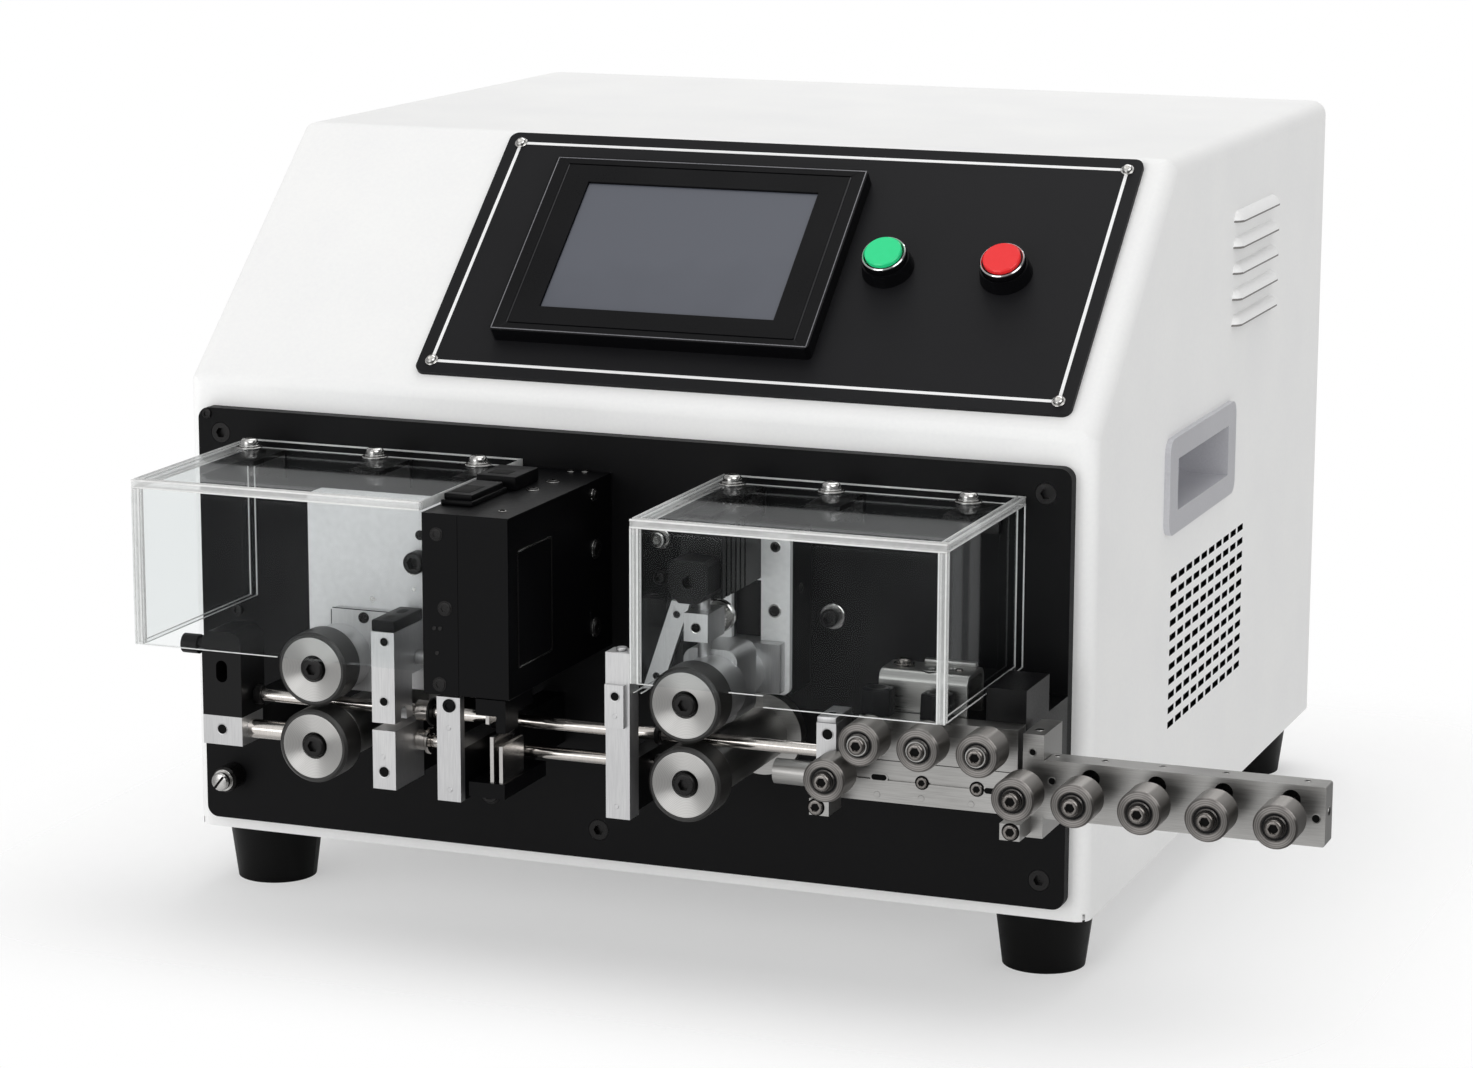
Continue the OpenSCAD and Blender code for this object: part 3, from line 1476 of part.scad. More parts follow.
// Right cover: top, front, left and right wall, open below
module right_cover() {
    x0 = right_cover_x0;
    x1 = right_cover_x1;
    t = cover_t;
    notch_l = 54.7;
    notch_h = 4.5;
    color(clear) difference() {
        cover_block(x0, x1, right_cover_z0, 0);
        cover_block(x0 + t, x1 - t, right_cover_z0 - cut, t);
        slab(x0 - cut, x0 + notch_l, cover_f - cut, cover_f + t, right_cover_z0 - cut, right_cover_z0 + notch_h);
        clip_holes(x0, right_clip_in);
    }
}

// Block with the cover's round front edge, with front and top moved inwards by d
module cover_block(x0, x1, z0, d) {
    r = max(6 - d, 1);
    y1 = d > 0 ? plate_f + cut : plate_f;
    along_x(x0, x1) {
        translate([cover_f + d, z0]) square([y1 - cover_f - d, cover_z1 - d - r - z0]);
        translate([cover_f + d + r, z0]) square([y1 - cover_f - d - r, cover_z1 - d - z0]);
        translate([cover_f + d + r, cover_z1 - d - r]) circle(r);
    }
}

// Screw holes in the top of a cover
module clip_holes(x0, places) {
    for (p = places) bar_z(x0 + p, clip_y, cover_z1 - cover_t - cut, cover_z1 + cut, 4.4);
}

// Angle clips that hold the covers on the front plate
module cover_clips() {
    color(black) {
        for (p = left_clip_in) clip(left_cover_x0 + p);
        for (p = right_clip_in) clip(right_cover_x0 + p);
    }
}

module clip(x) {
    z1 = cover_z1 - cover_t;
    difference() {
        union() {
            slab(x - clip_w / 2, x + clip_w / 2, plate_f - clip_reach, plate_f, z1 - clip_t, z1);
            slab(x - clip_w / 2, x + clip_w / 2, plate_f - clip_t, plate_f, z1 - clip_h, z1);
        }
        bar_z(x, clip_y, z1 - clip_t - cut, z1 + cut, 3.3);
    }
}

in_frame() case_shell();
in_frame() base_plate();
in_frame() rear_panel();
in_frame() rubber_feet();
in_frame() front_plate();
in_frame() plate_screws();
in_frame() control_panel();
in_frame() hmi_housing();
in_frame() hmi_screen();
in_frame() button_rings();
in_frame() start_button();
in_frame() stop_button();
in_frame() side_handles();
in_frame() power_inlet();
in_frame() power_rocker();
in_frame() power_supply();
in_frame() control_board();
in_frame() stepper_motors();
in_frame() spindle_housings();
in_frame() left_bracket();
in_frame() right_bracket();
in_frame() mounting_blocks();
in_frame() wire_guides();
in_frame() guide_rods();
in_frame() outlet_bracket();
in_frame() cutter_side_plate();
in_frame() cutter_housing();
in_frame() cutter_spindle();
in_frame() upper_blade_holder();
in_frame() upper_blade();
in_frame() lower_blade_holder();
in_frame() lower_blade();
in_frame() left_lower_roller();
in_frame() left_lower_tyre();
in_frame() left_carriage();
in_frame() left_upper_roller();
in_frame() left_upper_tyre();
in_frame() right_lower_roller();
in_frame() right_lower_tyre();
in_frame() right_carriage();
in_frame() right_upper_roller();
in_frame() right_upper_tyre();
in_frame() straightener_base();
in_frame() straightener_arm();
in_frame() straightener_clamp();
in_frame() roller_studs();
in_frame() straightener_slide();
in_frame() straight_roller(upper_roller_x[0], roller_up_z);  // upper_straight_roller_1
in_frame() straight_roller(upper_roller_x[1], roller_up_z);  // upper_straight_roller_2
in_frame() straight_roller(upper_roller_x[2], roller_up_z);  // upper_straight_roller_3
in_frame() straight_roller(low_left_x, roller_low_z);  // lower_straight_roller_1
in_frame() straight_roller(low_right_x, roller_low_z);  // lower_straight_roller_2
in_frame() straight_roller(arm_roller_x[0], roller_low_z);  // arm_roller_1
in_frame() straight_roller(arm_roller_x[1], roller_low_z);  // arm_roller_2
in_frame() straight_roller(arm_roller_x[2], roller_low_z);  // arm_roller_3
in_frame() straight_roller(arm_roller_x[3], roller_low_z);  // arm_roller_4
in_frame() left_cover();
in_frame() right_cover();
in_frame() cover_clips();
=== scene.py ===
"""Looks of a benchtop wire cutting and stripping machine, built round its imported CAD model."""

import math

import bmesh
import bpy
from mathutils import Matrix, Vector


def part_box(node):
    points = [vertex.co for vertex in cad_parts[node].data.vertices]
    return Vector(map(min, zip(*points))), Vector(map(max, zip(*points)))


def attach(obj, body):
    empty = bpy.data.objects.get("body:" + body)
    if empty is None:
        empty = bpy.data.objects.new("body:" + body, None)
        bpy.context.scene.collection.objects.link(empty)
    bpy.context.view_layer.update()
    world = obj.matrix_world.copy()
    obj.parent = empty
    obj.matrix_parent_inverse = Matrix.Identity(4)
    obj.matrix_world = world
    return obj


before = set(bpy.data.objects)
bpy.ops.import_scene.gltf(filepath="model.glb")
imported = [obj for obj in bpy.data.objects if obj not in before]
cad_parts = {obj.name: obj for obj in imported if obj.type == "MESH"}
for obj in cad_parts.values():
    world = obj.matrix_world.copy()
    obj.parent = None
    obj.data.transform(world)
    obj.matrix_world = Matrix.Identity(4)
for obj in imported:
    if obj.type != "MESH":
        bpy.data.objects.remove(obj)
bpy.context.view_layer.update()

# Millimetres from the case's lower front left corner, as the part is drawn, to the row frame
CORNER = Vector((-253.75, -137.75, 26.0))
SLOPE_FOOT = Vector((0.0, 0.0, 197.0))
SLOPE = math.atan2(97.0, 111.0)
PANEL_TOP = 2.0
CASE_WIDTH = 400
# Faces that carry small pieces, in mm from the same corner
PLATE_FACE = -6
CUTTER_FRONT, CUTTER_SIDE, CUTTER_TOP = -109, 197.5, 170
LEFT_BRACKET_FACE, RIGHT_BRACKET_FACE = -68, -30
BAR_FACE = -72
BUTTON_V = 79.0


def linear(code):
    """Linear colour of an sRGB hex value."""
    parts = [int(code[i : i + 2], 16) / 255 for i in (1, 3, 5)]
    return [c / 12.92 if c <= 0.04045 else ((c + 0.055) / 1.055) ** 2.4 for c in parts] + [1.0]


def add(tree, kind, links=None, values=None, **settings):
    """Adds a node, sets its properties and its inputs' values, and links its inputs."""
    node = tree.nodes.new(kind)
    for key, value in settings.items():
        setattr(node, key, value)
    for key, value in (values or {}).items():
        node.inputs[key].default_value = value
    for key, source in (links or {}).items():
        tree.links.new(source, node.inputs[key])
    return node


def material(name):
    """An empty material with its node tree and its output."""
    made = bpy.data.materials.new(name)
    made.use_nodes = True
    made.node_tree.nodes.clear()
    return made, made.node_tree, made.node_tree.nodes.new("ShaderNodeOutputMaterial")


def surface(tree, out, links, values):
    """The principled shader of a material, wired to its output."""
    shader = add(tree, "ShaderNodeBsdfPrincipled", links, values)
    tree.links.new(shader.outputs[0], out.inputs["Surface"])
    return shader


def noise(tree, vector, size, detail):
    """Noise whose grains have a real size in mm."""
    return add(tree, "ShaderNodeTexNoise", {"Vector": vector}, {"Scale": 1000 / size, "Detail": detail})


def bump(tree, height, strength, depth):
    """Relief of a real depth in mm."""
    return add(tree, "ShaderNodeBump", {"Height": height}, {"Strength": strength, "Distance": depth / 1000})


def smooth(tree, value, low, high, at_low=0.0, at_high=1.0):
    """Goes softly from one value to another while an input goes from low to high."""
    ends = {1: low, 2: high, 3: at_low, 4: at_high}
    return add(tree, "ShaderNodeMapRange", {0: value}, ends, interpolation_type="SMOOTHSTEP")


def grain(
    name, light, dark, rough, size, depth, metal=0.0, stretch=(1, 1, 1), spread=0.08, specular=0.5,
    more=None,
):
    """A surface with a fine grain of a real size in mm, in colour, gloss and relief."""
    cloud = 45
    made, tree, out = material(name)
    where = add(tree, "ShaderNodeTexCoord")
    turned = add(tree, "ShaderNodeMapping", {"Vector": where.outputs["Object"]}, {"Scale": stretch})
    fine = noise(tree, turned.outputs[0], size, 3.0)
    broad = noise(tree, where.outputs["Object"], cloud, 2.0)
    both = add(tree, "ShaderNodeMath", {0: fine.outputs[0], 1: broad.outputs[0]}, operation="ADD")
    half = add(tree, "ShaderNodeMath", {0: both.outputs[0]}, {1: 0.5}, operation="MULTIPLY")
    ramp = add(tree, "ShaderNodeValToRGB", {0: half.outputs[0]})
    ramp.color_ramp.elements[0].position = 0.35
    ramp.color_ramp.elements[0].color = linear(dark)
    ramp.color_ramp.elements[1].position = 0.65
    ramp.color_ramp.elements[1].color = linear(light)
    ends = {1: 0.3, 2: 0.7, 3: rough - spread, 4: rough + spread}
    gloss = add(tree, "ShaderNodeMapRange", {0: half.outputs[0]}, ends)
    relief = bump(tree, fine.outputs[0], 0.35, depth)
    links = {"Base Color": ramp.outputs[0], "Roughness": gloss.outputs[0], "Normal": relief.outputs[0]}
    surface(tree, out, links, {"Metallic": metal, "Specular IOR Level": specular, **(more or {})})
    return made


def turned_metal(name, light, dark, rough, centre, pitch, depth, comb=0.0):
    """A lathe-turned face with tool rings round a centre, a pitch in mm apart, combed round its axis."""
    made, tree, out = material(name)
    where = add(tree, "ShaderNodeTexCoord")
    middle = -(Vector(centre) + CORNER) / 1000
    moved = add(tree, "ShaderNodeMapping", {"Vector": where.outputs["Object"]}, {"Location": middle})
    rings = add(
        tree, "ShaderNodeTexWave", {"Vector": moved.outputs[0]},
        {"Scale": math.tau * 50 / pitch, "Distortion": 0.4, "Detail": 2.0, "Detail Scale": 3.0},
        wave_type="RINGS", rings_direction="Y",
    )
    shade = add(tree, "ShaderNodeValToRGB", {0: rings.outputs["Fac"]})
    shade.color_ramp.elements[0].color = linear(dark)
    shade.color_ramp.elements[1].color = linear(light)
    gloss = add(tree, "ShaderNodeMapRange", {0: rings.outputs["Fac"]}, {3: rough + 0.05, 4: rough - 0.04})
    relief = bump(tree, rings.outputs["Fac"], 0.3, depth)
    around = add(tree, "ShaderNodeTangent", direction_type="RADIAL", axis="Y")
    links = {
        "Base Color": shade.outputs[0], "Roughness": gloss.outputs[0], "Normal": relief.outputs[0],
        "Tangent": around.outputs[0],
    }
    surface(tree, out, links, {"Metallic": 1.0, "Anisotropic": comb, "Anisotropic Rotation": 0.25})
    return made


# Powder-coated sheet steel: an even satin white with the faint ripple of baked powder
white_coat = grain("powder_coated_steel", "#F5F5F4", "#F1F1F1", 0.52, 1.6, 0.03, spread=0.04, specular=0.16)
# The same coat over the pressed louvres, painted brighter: a painted highlight for the light their hoods
# catch
painted_louvre_highlight = grain(
    "louvre_painted_highlight", "#FFFFFE", "#FBFBFB", 0.38, 1.6, 0.02, spread=0.04, specular=0.4,
)
# Lowest band of each louvre's lip: grey painted shadow standing for the dark line of shade under the hood
painted_lip_shadow = grain("louvre_lip_painted_shadow", "#8C8A88", "#767472", 0.50, 0.6, 0.02, specular=0.2)
# Black powder coat on the front plate: deep and even, broken by a fine dry texture
plate_coat = grain("black_powder_coated_plate", "#0C0C0D", "#08080A", 0.50, 0.9, 0.04, specular=0.13)
# Printed polycarbonate sheet over the control panel: a softer, greyer black with a silk gloss
panel_sheet = grain("silk_printed_polycarbonate", "#18181A", "#141416", 0.46, 0.7, 0.015, specular=0.14)
# Black anodised aluminium: blue-black, with the milled grain under the dye
anodised = grain(
    "black_anodised_aluminium", "#08080A", "#050506", 0.40, 0.8, 0.02, stretch=(0.2, 1, 1), specular=0.10,
)
# Moulded ABS: spark-eroded texture, a little shine on the edges
abs_plastic = grain("black_moulded_abs", "#0C0C0E", "#08080A", 0.34, 0.6, 0.015, specular=0.13)
# Outer edges of the display bezel: the same plastic in grey, a painted highlight along its edges
painted_bezel_highlight = grain("bezel_edge_painted_highlight", "#7C7C80", "#66666A", 0.30, 0.8, 0.006)
# Grooves of the bezel: a line a little lighter than the face
lighter_groove_line = grain("abs_groove_lighter_line", "#3A3A3D", "#303033", 0.50, 0.8, 0.006)
# Black oxide screw steel: oily grey-black
black_oxide = grain("black_oxide_steel", "#1E1D1D", "#121111", 0.30, 0.5, 0.01, metal=0.6)
# Rubber feet: dull black with a dusty grain
foot_rubber = grain("moulded_rubber", "#080808", "#050505", 0.46, 0.8, 0.03, specular=0.15)
# Milled aluminium blocks: pale grey, drawn streaks along X about a third of a millimetre wide
brushed = grain("brushed_aluminium", "#AFAEAC", "#949391", 0.34, 0.35, 0.012, 1.0, (0.03, 1, 1), 0.07)
# Guides and carriages: the same metal, brushed up and down
brushed_up = grain(
    "brushed_aluminium_upright", "#D4D4D4", "#BEBEBF", 0.42, 0.4, 0.012, 1.0, (1, 1, 0.05), 0.07,
)
# Left bracket: blasted and silver anodised sheet, cloudy and almost matt
satin_plate = grain("silver_anodised_sheet", "#DADADB", "#CECECF", 0.46, 2.5, 0.01, 0.3, spread=0.05)
# The press plate: the same silver sheet as the left bracket, painted lighter for the light it catches
lit_bracket_sheet = grain("bracket_sheet_painted_light", "#F2F2F2", "#E4E4E5", 0.44, 2.5, 0.01, 0.25, spread=0.05)
# Mounting blocks and outlet bracket: black anodised, with a satin shine on their edges
satin_black = grain("satin_black_aluminium", "#0A0A0B", "#060607", 0.34, 0.8, 0.015, specular=0.20)
# Heads of the roller studs: bare steel, darkened by oil
oiled_steel = grain("oiled_steel", "#8A8683", "#66625F", 0.22, 0.5, 0.006, metal=1.0)
# Side handles: zinc casting under silver lacquer
silver_lacquer = grain("silver_lacquered_casting", "#D6D6DA", "#CBCBD0", 0.38, 0.9, 0.01, metal=0.35)
# Ground steel rods: mirror-like, with hair-fine grinding lines round the rod
ground = grain("ground_steel", "#D6D1CC", "#BDB8B3", 0.14, 0.3, 0.004, 1.0, (1, 0.05, 0.05), 0.04)
# Bright zinc screws and washers
bright_zinc = grain("bright_zinc_steel", "#D6D5D3", "#B4B3B1", 0.20, 0.6, 0.006, metal=1.0)
# Blades: ground tool steel
tool_steel = grain("ground_tool_steel", "#C6C4C2", "#A9A7A5", 0.24, 0.3, 0.006, 1.0, (1, 0.05, 1), 0.05)
# Studs: blackened hardened steel
hard_steel = grain("blackened_stud_steel", "#2B2928", "#1A1918", 0.28, 0.5, 0.006, metal=0.8)
# Chrome trim on the push buttons
chrome = grain("chrome_plated_rim", "#E4E4E4", "#D8D8D8", 0.08, 0.8, 0.002, metal=1.0, spread=0.02)
# Polyurethane tyres: charcoal, ground with fine cross lines
tyre = grain("ground_polyurethane", "#242322", "#1A1918", 0.42, 0.45, 0.03, stretch=(1, 0.15, 1))
# Painted line on the panel: bright white ink
white_ink = grain("white_screen_ink", "#F6F6F6", "#F0F0F0", 0.45, 0.9, 0.005, spread=0.03)
# Circuit board: green solder mask
solder_mask = grain("green_solder_mask", "#1F5B34", "#174828", 0.35, 1.2, 0.01)
# Inside of drilled holes and slots: black painted shade standing for the dark in the holes
painted_hole_shade = grain("hole_painted_shade", "#080808", "#050505", 0.60, 0.8, 0.01, specular=0.1)
# Black painted shade for the vents: sheets behind them and their punched walls stand for the dark inside
# the case
painted_vent_shade = grain("vent_painted_shade", "#0A0A0A", "#040404", 0.90, 0.7, 0.3, specular=0.05)
# Edges of the acrylic: milky white, a painted highlight for the light their polished edges pipe and catch
painted_edge_highlight = grain(
    "acrylic_edge_painted_highlight", "#F2F2F1", "#DFDFDE", 0.20, 1.8, 0.01, spread=0.05, more={"Alpha": 0.78},
)
# The band between two polished edges: pale and half clear, a painted sheen
painted_band_sheen = grain(
    "acrylic_band_painted_sheen", "#E9E9E8", "#D8D8D7", 0.16, 2.4, 0.01, spread=0.05, more={"Alpha": 0.36},
)


def cap_plastic(name, light, dark):
    """Glossy even polycarbonate, as on a push button's cap or a rocker."""
    return grain(
        name, light, dark, 0.22, 3.0, 0.004, spread=0.04, specular=0.3,
        more={"Coat Weight": 0.15, "Coat Roughness": 0.08},
    )


green_cap = cap_plastic("green_polycarbonate_cap", "#2DDC90", "#29D88B")
red_cap = cap_plastic("red_polycarbonate_cap", "#F03235", "#ED2E31")


def screen_glass():
    """Unlit display behind coated glass: blue-grey, with a painted reflection that makes it a touch lighter
    towards the top.
    """
    made, tree, out = material("display_glass")
    where = add(tree, "ShaderNodeTexCoord")
    split = add(tree, "ShaderNodeSeparateXYZ", {0: where.outputs["Object"]})
    low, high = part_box("hmi_screen")
    # Painted reflection: the colour gets lighter towards the top of the screen
    rise = add(tree, "ShaderNodeMapRange", {0: split.outputs["Z"]}, {1: low.z, 2: high.z})
    cells = noise(tree, where.outputs["Object"], 30, 2.0)
    mixed = add(tree, "ShaderNodeMath", {0: rise.outputs[0], 1: cells.outputs[0]}, operation="ADD")
    ramp = add(tree, "ShaderNodeValToRGB", {0: mixed.outputs[0]})
    ramp.color_ramp.elements[0].position = 0.2
    ramp.color_ramp.elements[0].color = linear("#4C4F58")
    ramp.color_ramp.elements[1].color = linear("#555861")
    surface(
        tree, out, {"Base Color": ramp.outputs[0]},
        {"Roughness": 0.22, "Coat Weight": 0.3, "Coat Roughness": 0.05},
    )
    return made


def acrylic_sheet():
    """Clear cast acrylic: light goes straight through, and it mirrors the room a little at a slant."""
    made, tree, out = material("clear_cast_acrylic")
    where = add(tree, "ShaderNodeTexCoord")
    wiped = noise(tree, where.outputs["Object"], 28, 3.0)
    slant = add(tree, "ShaderNodeLayerWeight", None, {"Blend": 0.5})
    steep = add(tree, "ShaderNodeMath", {0: slant.outputs["Facing"]}, {1: 4.0}, operation="POWER")
    haze = add(tree, "ShaderNodeMapRange", {0: wiped.outputs[0]}, {1: 0.3, 2: 0.7, 3: 0.003, 4: 0.007})
    share = add(
        tree, "ShaderNodeMath", {0: steep.outputs[0], 2: haze.outputs[0]}, {1: 0.3},
        operation="MULTIPLY_ADD",
    )
    clear = add(tree, "ShaderNodeBsdfTransparent", None, {0: linear("#FAFBFB")})
    mirror = add(
        tree, "ShaderNodeBsdfPrincipled", None,
        {"Base Color": linear("#F4F6F8"), "Metallic": 1.0, "Roughness": 0.05},
    )
    both = add(
        tree, "ShaderNodeMixShader", {0: share.outputs[0], 1: clear.outputs[0], 2: mirror.outputs[0]},
    )
    tree.links.new(both.outputs[0], out.inputs["Surface"])
    return made


clear_acrylic = acrylic_sheet()
display = screen_glass()

FEED = {
    "left_lower": (106.0, 68.25), "left_upper": (106.0, 99.75), "right_lower": (265.5, 68.25),
    "right_upper": (265.5, 99.75),
}
STRAIGHT = {
    "upper_straight_roller_1": (336.5, 91.0), "upper_straight_roller_2": (360.0, 91.0),
    "upper_straight_roller_3": (383.5, 91.0),
    "lower_straight_roller_1": (322.7, 75.5), "lower_straight_roller_2": (397.65, 75.5),
    "arm_roller_1": (420.8, 75.5), "arm_roller_2": (446.5, 75.5), "arm_roller_3": (472.2, 75.5),
    "arm_roller_4": (497.9, 75.5),
}

FINISH = {
    white_coat: ["case_shell", "base_plate", "rear_panel"],
    plate_coat: ["front_plate"],
    panel_sheet: ["control_panel"],
    abs_plastic: ["hmi_housing", "power_inlet", "button_rings", "start_button", "stop_button"],
    display: ["hmi_screen"],
    red_cap: ["power_rocker"],
    silver_lacquer: ["side_handles", "power_supply"],
    foot_rubber: ["rubber_feet"],
    black_oxide: ["plate_screws", "stepper_motors", "cover_clips"],
    satin_black: ["mounting_blocks", "outlet_bracket"],
    anodised: ["cutter_side_plate", "cutter_housing", "upper_blade_holder", "lower_blade_holder"],
    satin_plate: ["left_bracket"],
    lit_bracket_sheet: ["right_bracket"],
    brushed_up: ["wire_guides", "left_carriage", "right_carriage"],
    brushed: [
        "straightener_base", "straightener_arm", "straightener_clamp", "straightener_slide",
        "spindle_housings",
    ],
    ground: ["guide_rods"],
    tool_steel: ["upper_blade", "lower_blade", "cutter_spindle"],
    hard_steel: ["roller_studs"],
    tyre: [place + "_tyre" for place in FEED],
    clear_acrylic: ["left_cover", "right_cover"],
    solder_mask: ["control_board"],
}


def finish(node, look):
    """Gives a CAD node one material."""
    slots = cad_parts[node].data.materials
    slots.clear()
    slots.append(look)


for look, nodes in FINISH.items():
    for node in nodes:
        finish(node, look)
for place, (x, z) in FEED.items():
    finish(
        place + "_roller",
        turned_metal("turned_aluminium_" + place, "#CCCBC9", "#BAB9B7", 0.42, (x, 0, z), 0.6, 0.004, 0.97),
    )
for place, (x, z) in STRAIGHT.items():
    finish(
        place,
        turned_metal("turned_steel_" + place, "#8E8B88", "#726F6D", 0.36, (x, 0, z), 0.8, 0.006, 0.95),
    )


def soften(node, width, angle=32):
    """Breaks the sharp edges of a CAD node, as the maker's file or the press brake does."""
    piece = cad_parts[node]
    weld = piece.modifiers.new("join", "WELD")
    weld.merge_threshold = 0.00002
    edge = piece.modifiers.new("break_edges", "BEVEL")
    edge.width = width / 1000
    edge.segments = 2
    edge.limit_method = "ANGLE"
    edge.angle_limit = math.radians(angle)
    edge.harden_normals = False
    even = piece.modifiers.new("even_shading", "WEIGHTED_NORMAL")
    even.keep_sharp = False


for node, width in {
    "front_plate": 0.5, "control_panel": 0.4, "hmi_housing": 0.6, "left_bracket": 0.4, "right_bracket": 0.4,
    "mounting_blocks": 0.4,
    "cutter_side_plate": 0.5, "cutter_housing": 0.5, "straightener_base": 0.4, "straightener_arm": 0.4,
    "straightener_slide": 0.3,
    "straightener_clamp": 0.3, "outlet_bracket": 0.4, "wire_guides": 0.4,
    **{place: 0.5 for place in STRAIGHT},
}.items():
    soften(node, width)


def facing(at, out=(0, -1, 0)):
    """Place at a point in mm for a shape that was made standing along +Z and shall stand along out."""
    return Matrix.Translation(at) @ Vector((0, 0, 1)).rotation_difference(Vector(out)).to_matrix().to_4x4()


def add_shape(piece, shape, place=Matrix(), look=0):
    """Adds a shape to a piece at a place, in one of the piece's looks."""
    shape.transform(place)
    for face in shape.faces:
        face.material_index = look
    mesh = bpy.data.meshes.new("shape")
    shape.to_mesh(mesh)
    shape.free()
    piece.from_mesh(mesh)
    bpy.data.meshes.remove(mesh)


def settle(name, piece, body, slot, *looks):
    """Turns a piece modelled in mm into an object of the scene that rides on a CAD body."""
    bmesh.ops.remove_doubles(piece, verts=piece.verts, dist=1e-4)
    bmesh.ops.recalc_face_normals(piece, faces=piece.faces)
    for face in piece.faces:
        face.smooth = True
    for edge in piece.edges:
        edge.smooth = edge.calc_face_angle(0) < math.radians(35)
    piece.transform(Matrix.Scale(0.001, 4) @ Matrix.Translation(CORNER))
    mesh = bpy.data.meshes.new(name)
    piece.to_mesh(mesh)
    piece.free()
    for look in looks:
        mesh.materials.append(look)
    made = bpy.data.objects.new(name, mesh)
    bpy.context.scene.collection.objects.link(made)
    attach(made, body)
    return made


def spun(profile, steps=32):
    """A turned shape from its outline as (radius, height) points."""
    shape = bmesh.new()
    points = [shape.verts.new((r, 0, h)) for r, h in profile]
    for a, b in zip(points, points[1:]):
        shape.edges.new((a, b))
    bmesh.ops.spin(
        shape, geom=shape.verts[:] + shape.edges[:], axis=(0, 0, 1), cent=(0, 0, 0), steps=steps,
        angle=math.tau, use_merge=True,
    )
    bmesh.ops.remove_doubles(shape, verts=shape.verts, dist=1e-4)
    return shape


def bevel(shape, edges, width, segments=2):
    """Rounds edges of a shape by a width in mm."""
    bmesh.ops.bevel(
        shape, geom=edges, offset=width, affect="EDGES", segments=segments, profile=0.5, material=-1
    )


def block(x0, x1, y0, y1, z0, z1, edge=0.3):
    """A block between two corners in mm with broken edges."""
    shape = bmesh.new()
    size = (x1 - x0, y1 - y0, z1 - z0)
    middle = ((x0 + x1) / 2, (y0 + y1) / 2, (z0 + z1) / 2)
    bmesh.ops.create_cube(shape, size=1, matrix=Matrix.Translation(middle) @ Matrix.Diagonal((*size, 1)))
    bevel(shape, shape.edges[:], edge)
    return shape


def pill(length, width, thick):
    """Flat bar with round ends along X, standing on z = 0."""
    shape = bmesh.new()
    place = Matrix.Translation((0, 0, thick / 2)) @ Matrix.Diagonal((length, width, thick, 1))
    bmesh.ops.create_cube(shape, size=1, matrix=place)
    upright = [e for e in shape.edges if abs(e.verts[0].co.z - e.verts[1].co.z) > thick / 2]
    bevel(shape, upright, width * 0.499, 6)
    return shape


def rod(d, length, edge=0.3):
    """Turned bar with chamfered ends, standing on z = 0."""
    r = d / 2
    return spun([(0, 0), (r - edge, 0), (r, edge), (r, length - edge), (r - edge, length), (0, length)])


def ring(outer, inner, thick, edge=0.3):
    """Flat ring with chamfered rims, lying on z = 0."""
    o, i = outer / 2, inner / 2
    return spun(
        [
            (i, 0), (o - edge, 0), (o, edge), (o, thick - edge), (o - edge, thick), (i + edge, thick),
            (i, thick - edge), (i, 0),
        ]
    )


def socket_screw(head_d, head_h, key, dome=0.06):
    """Head of a screw with its hexagon socket, standing on z = 0; dome is how much of it is rounded."""
    shape = bmesh.new()
    bmesh.ops.create_cone(
        shape, cap_ends=True, segments=24, radius1=head_d / 2, radius2=head_d / 2, depth=head_h,
        matrix=Matrix.Translation((0, 0, head_h / 2)),
    )
    top = max(shape.faces, key=lambda f: f.calc_center_median().z)
    bevel(shape, top.edges[:], min(head_d * dome, head_h * 0.85), 4)
    top = max(shape.faces, key=lambda f: (round(f.calc_center_median().z, 4), f.calc_area()))
    bmesh.ops.inset_region(shape, faces=[top], thickness=top.verts[0].co.xy.length - key * 0.55, depth=0)
    for corner in top.verts:
        turn = math.atan2(corner.co.y, corner.co.x) % (math.pi / 3) - math.pi / 6
        corner.co.xy = corner.co.xy.normalized() * (key / 2 / math.cos(turn))
    sunk = bmesh.ops.extrude_discrete_faces(shape, faces=[top])["faces"]
    bmesh.ops.translate(shape, verts=sunk[0].verts, vec=(0, 0, -head_h * 0.6))
    return shape


def knurled(d, length):
    """Knurled bush: a bar whose rim has fine teeth, standing on z = 0."""
    shape = bmesh.new()
    bmesh.ops.create_cone(
        shape, cap_ends=True, segments=48, radius1=d / 2, radius2=d / 2, depth=length,
        matrix=Matrix.Translation((0, 0, length / 2)),
    )
    for corner in shape.verts:
        tooth = round(math.atan2(corner.co.y, corner.co.x) / (math.tau / 48)) % 2
        corner.co.xy *= 1 - 0.05 * tooth
    caps = [e for f in shape.faces if len(f.verts) > 4 for e in f.edges]
    bevel(shape, caps, 0.3, 1)
    return shape


def bore(piece, d, at, out=(0, -1, 0), rim=0.4):
    """Mouth of a drilled hole: a rim in the piece's first look round a black disc in its second, painted
    shade for the dark inside of the bore.
    """
    r = d / 2
    add_shape(
        piece, spun([(r, 0), (r + rim, 0), (r + rim * 0.8, 0.16), (r, 0.08), (r, 0)], 24), facing(at, out),
    )
    # Black disc: painted shade for the inside of the hole
    add_shape(piece, rod(d + 0.02, 0.06, 0.01), facing(at, out), 1)


def on_slope(x, v, n):
    """A point of the sloping face: across, up the slope, and out of it, in mm."""
    return SLOPE_FOOT + Vector(
        (x, v * math.cos(SLOPE) - n * math.sin(SLOPE), v * math.sin(SLOPE) + n * math.cos(SLOPE))
    )


def on_panel(x, v, n=PANEL_TOP):
    """Place on the control panel for a shape that was made lying on z = 0."""
    return Matrix.Translation(on_slope(x, v, n)) @ Matrix.Rotation(SLOPE, 4, "X")


RIGHT, LEFT, UP, BACK = (1, 0, 0), (-1, 0, 0), (0, 0, 1), (0, 1, 0)


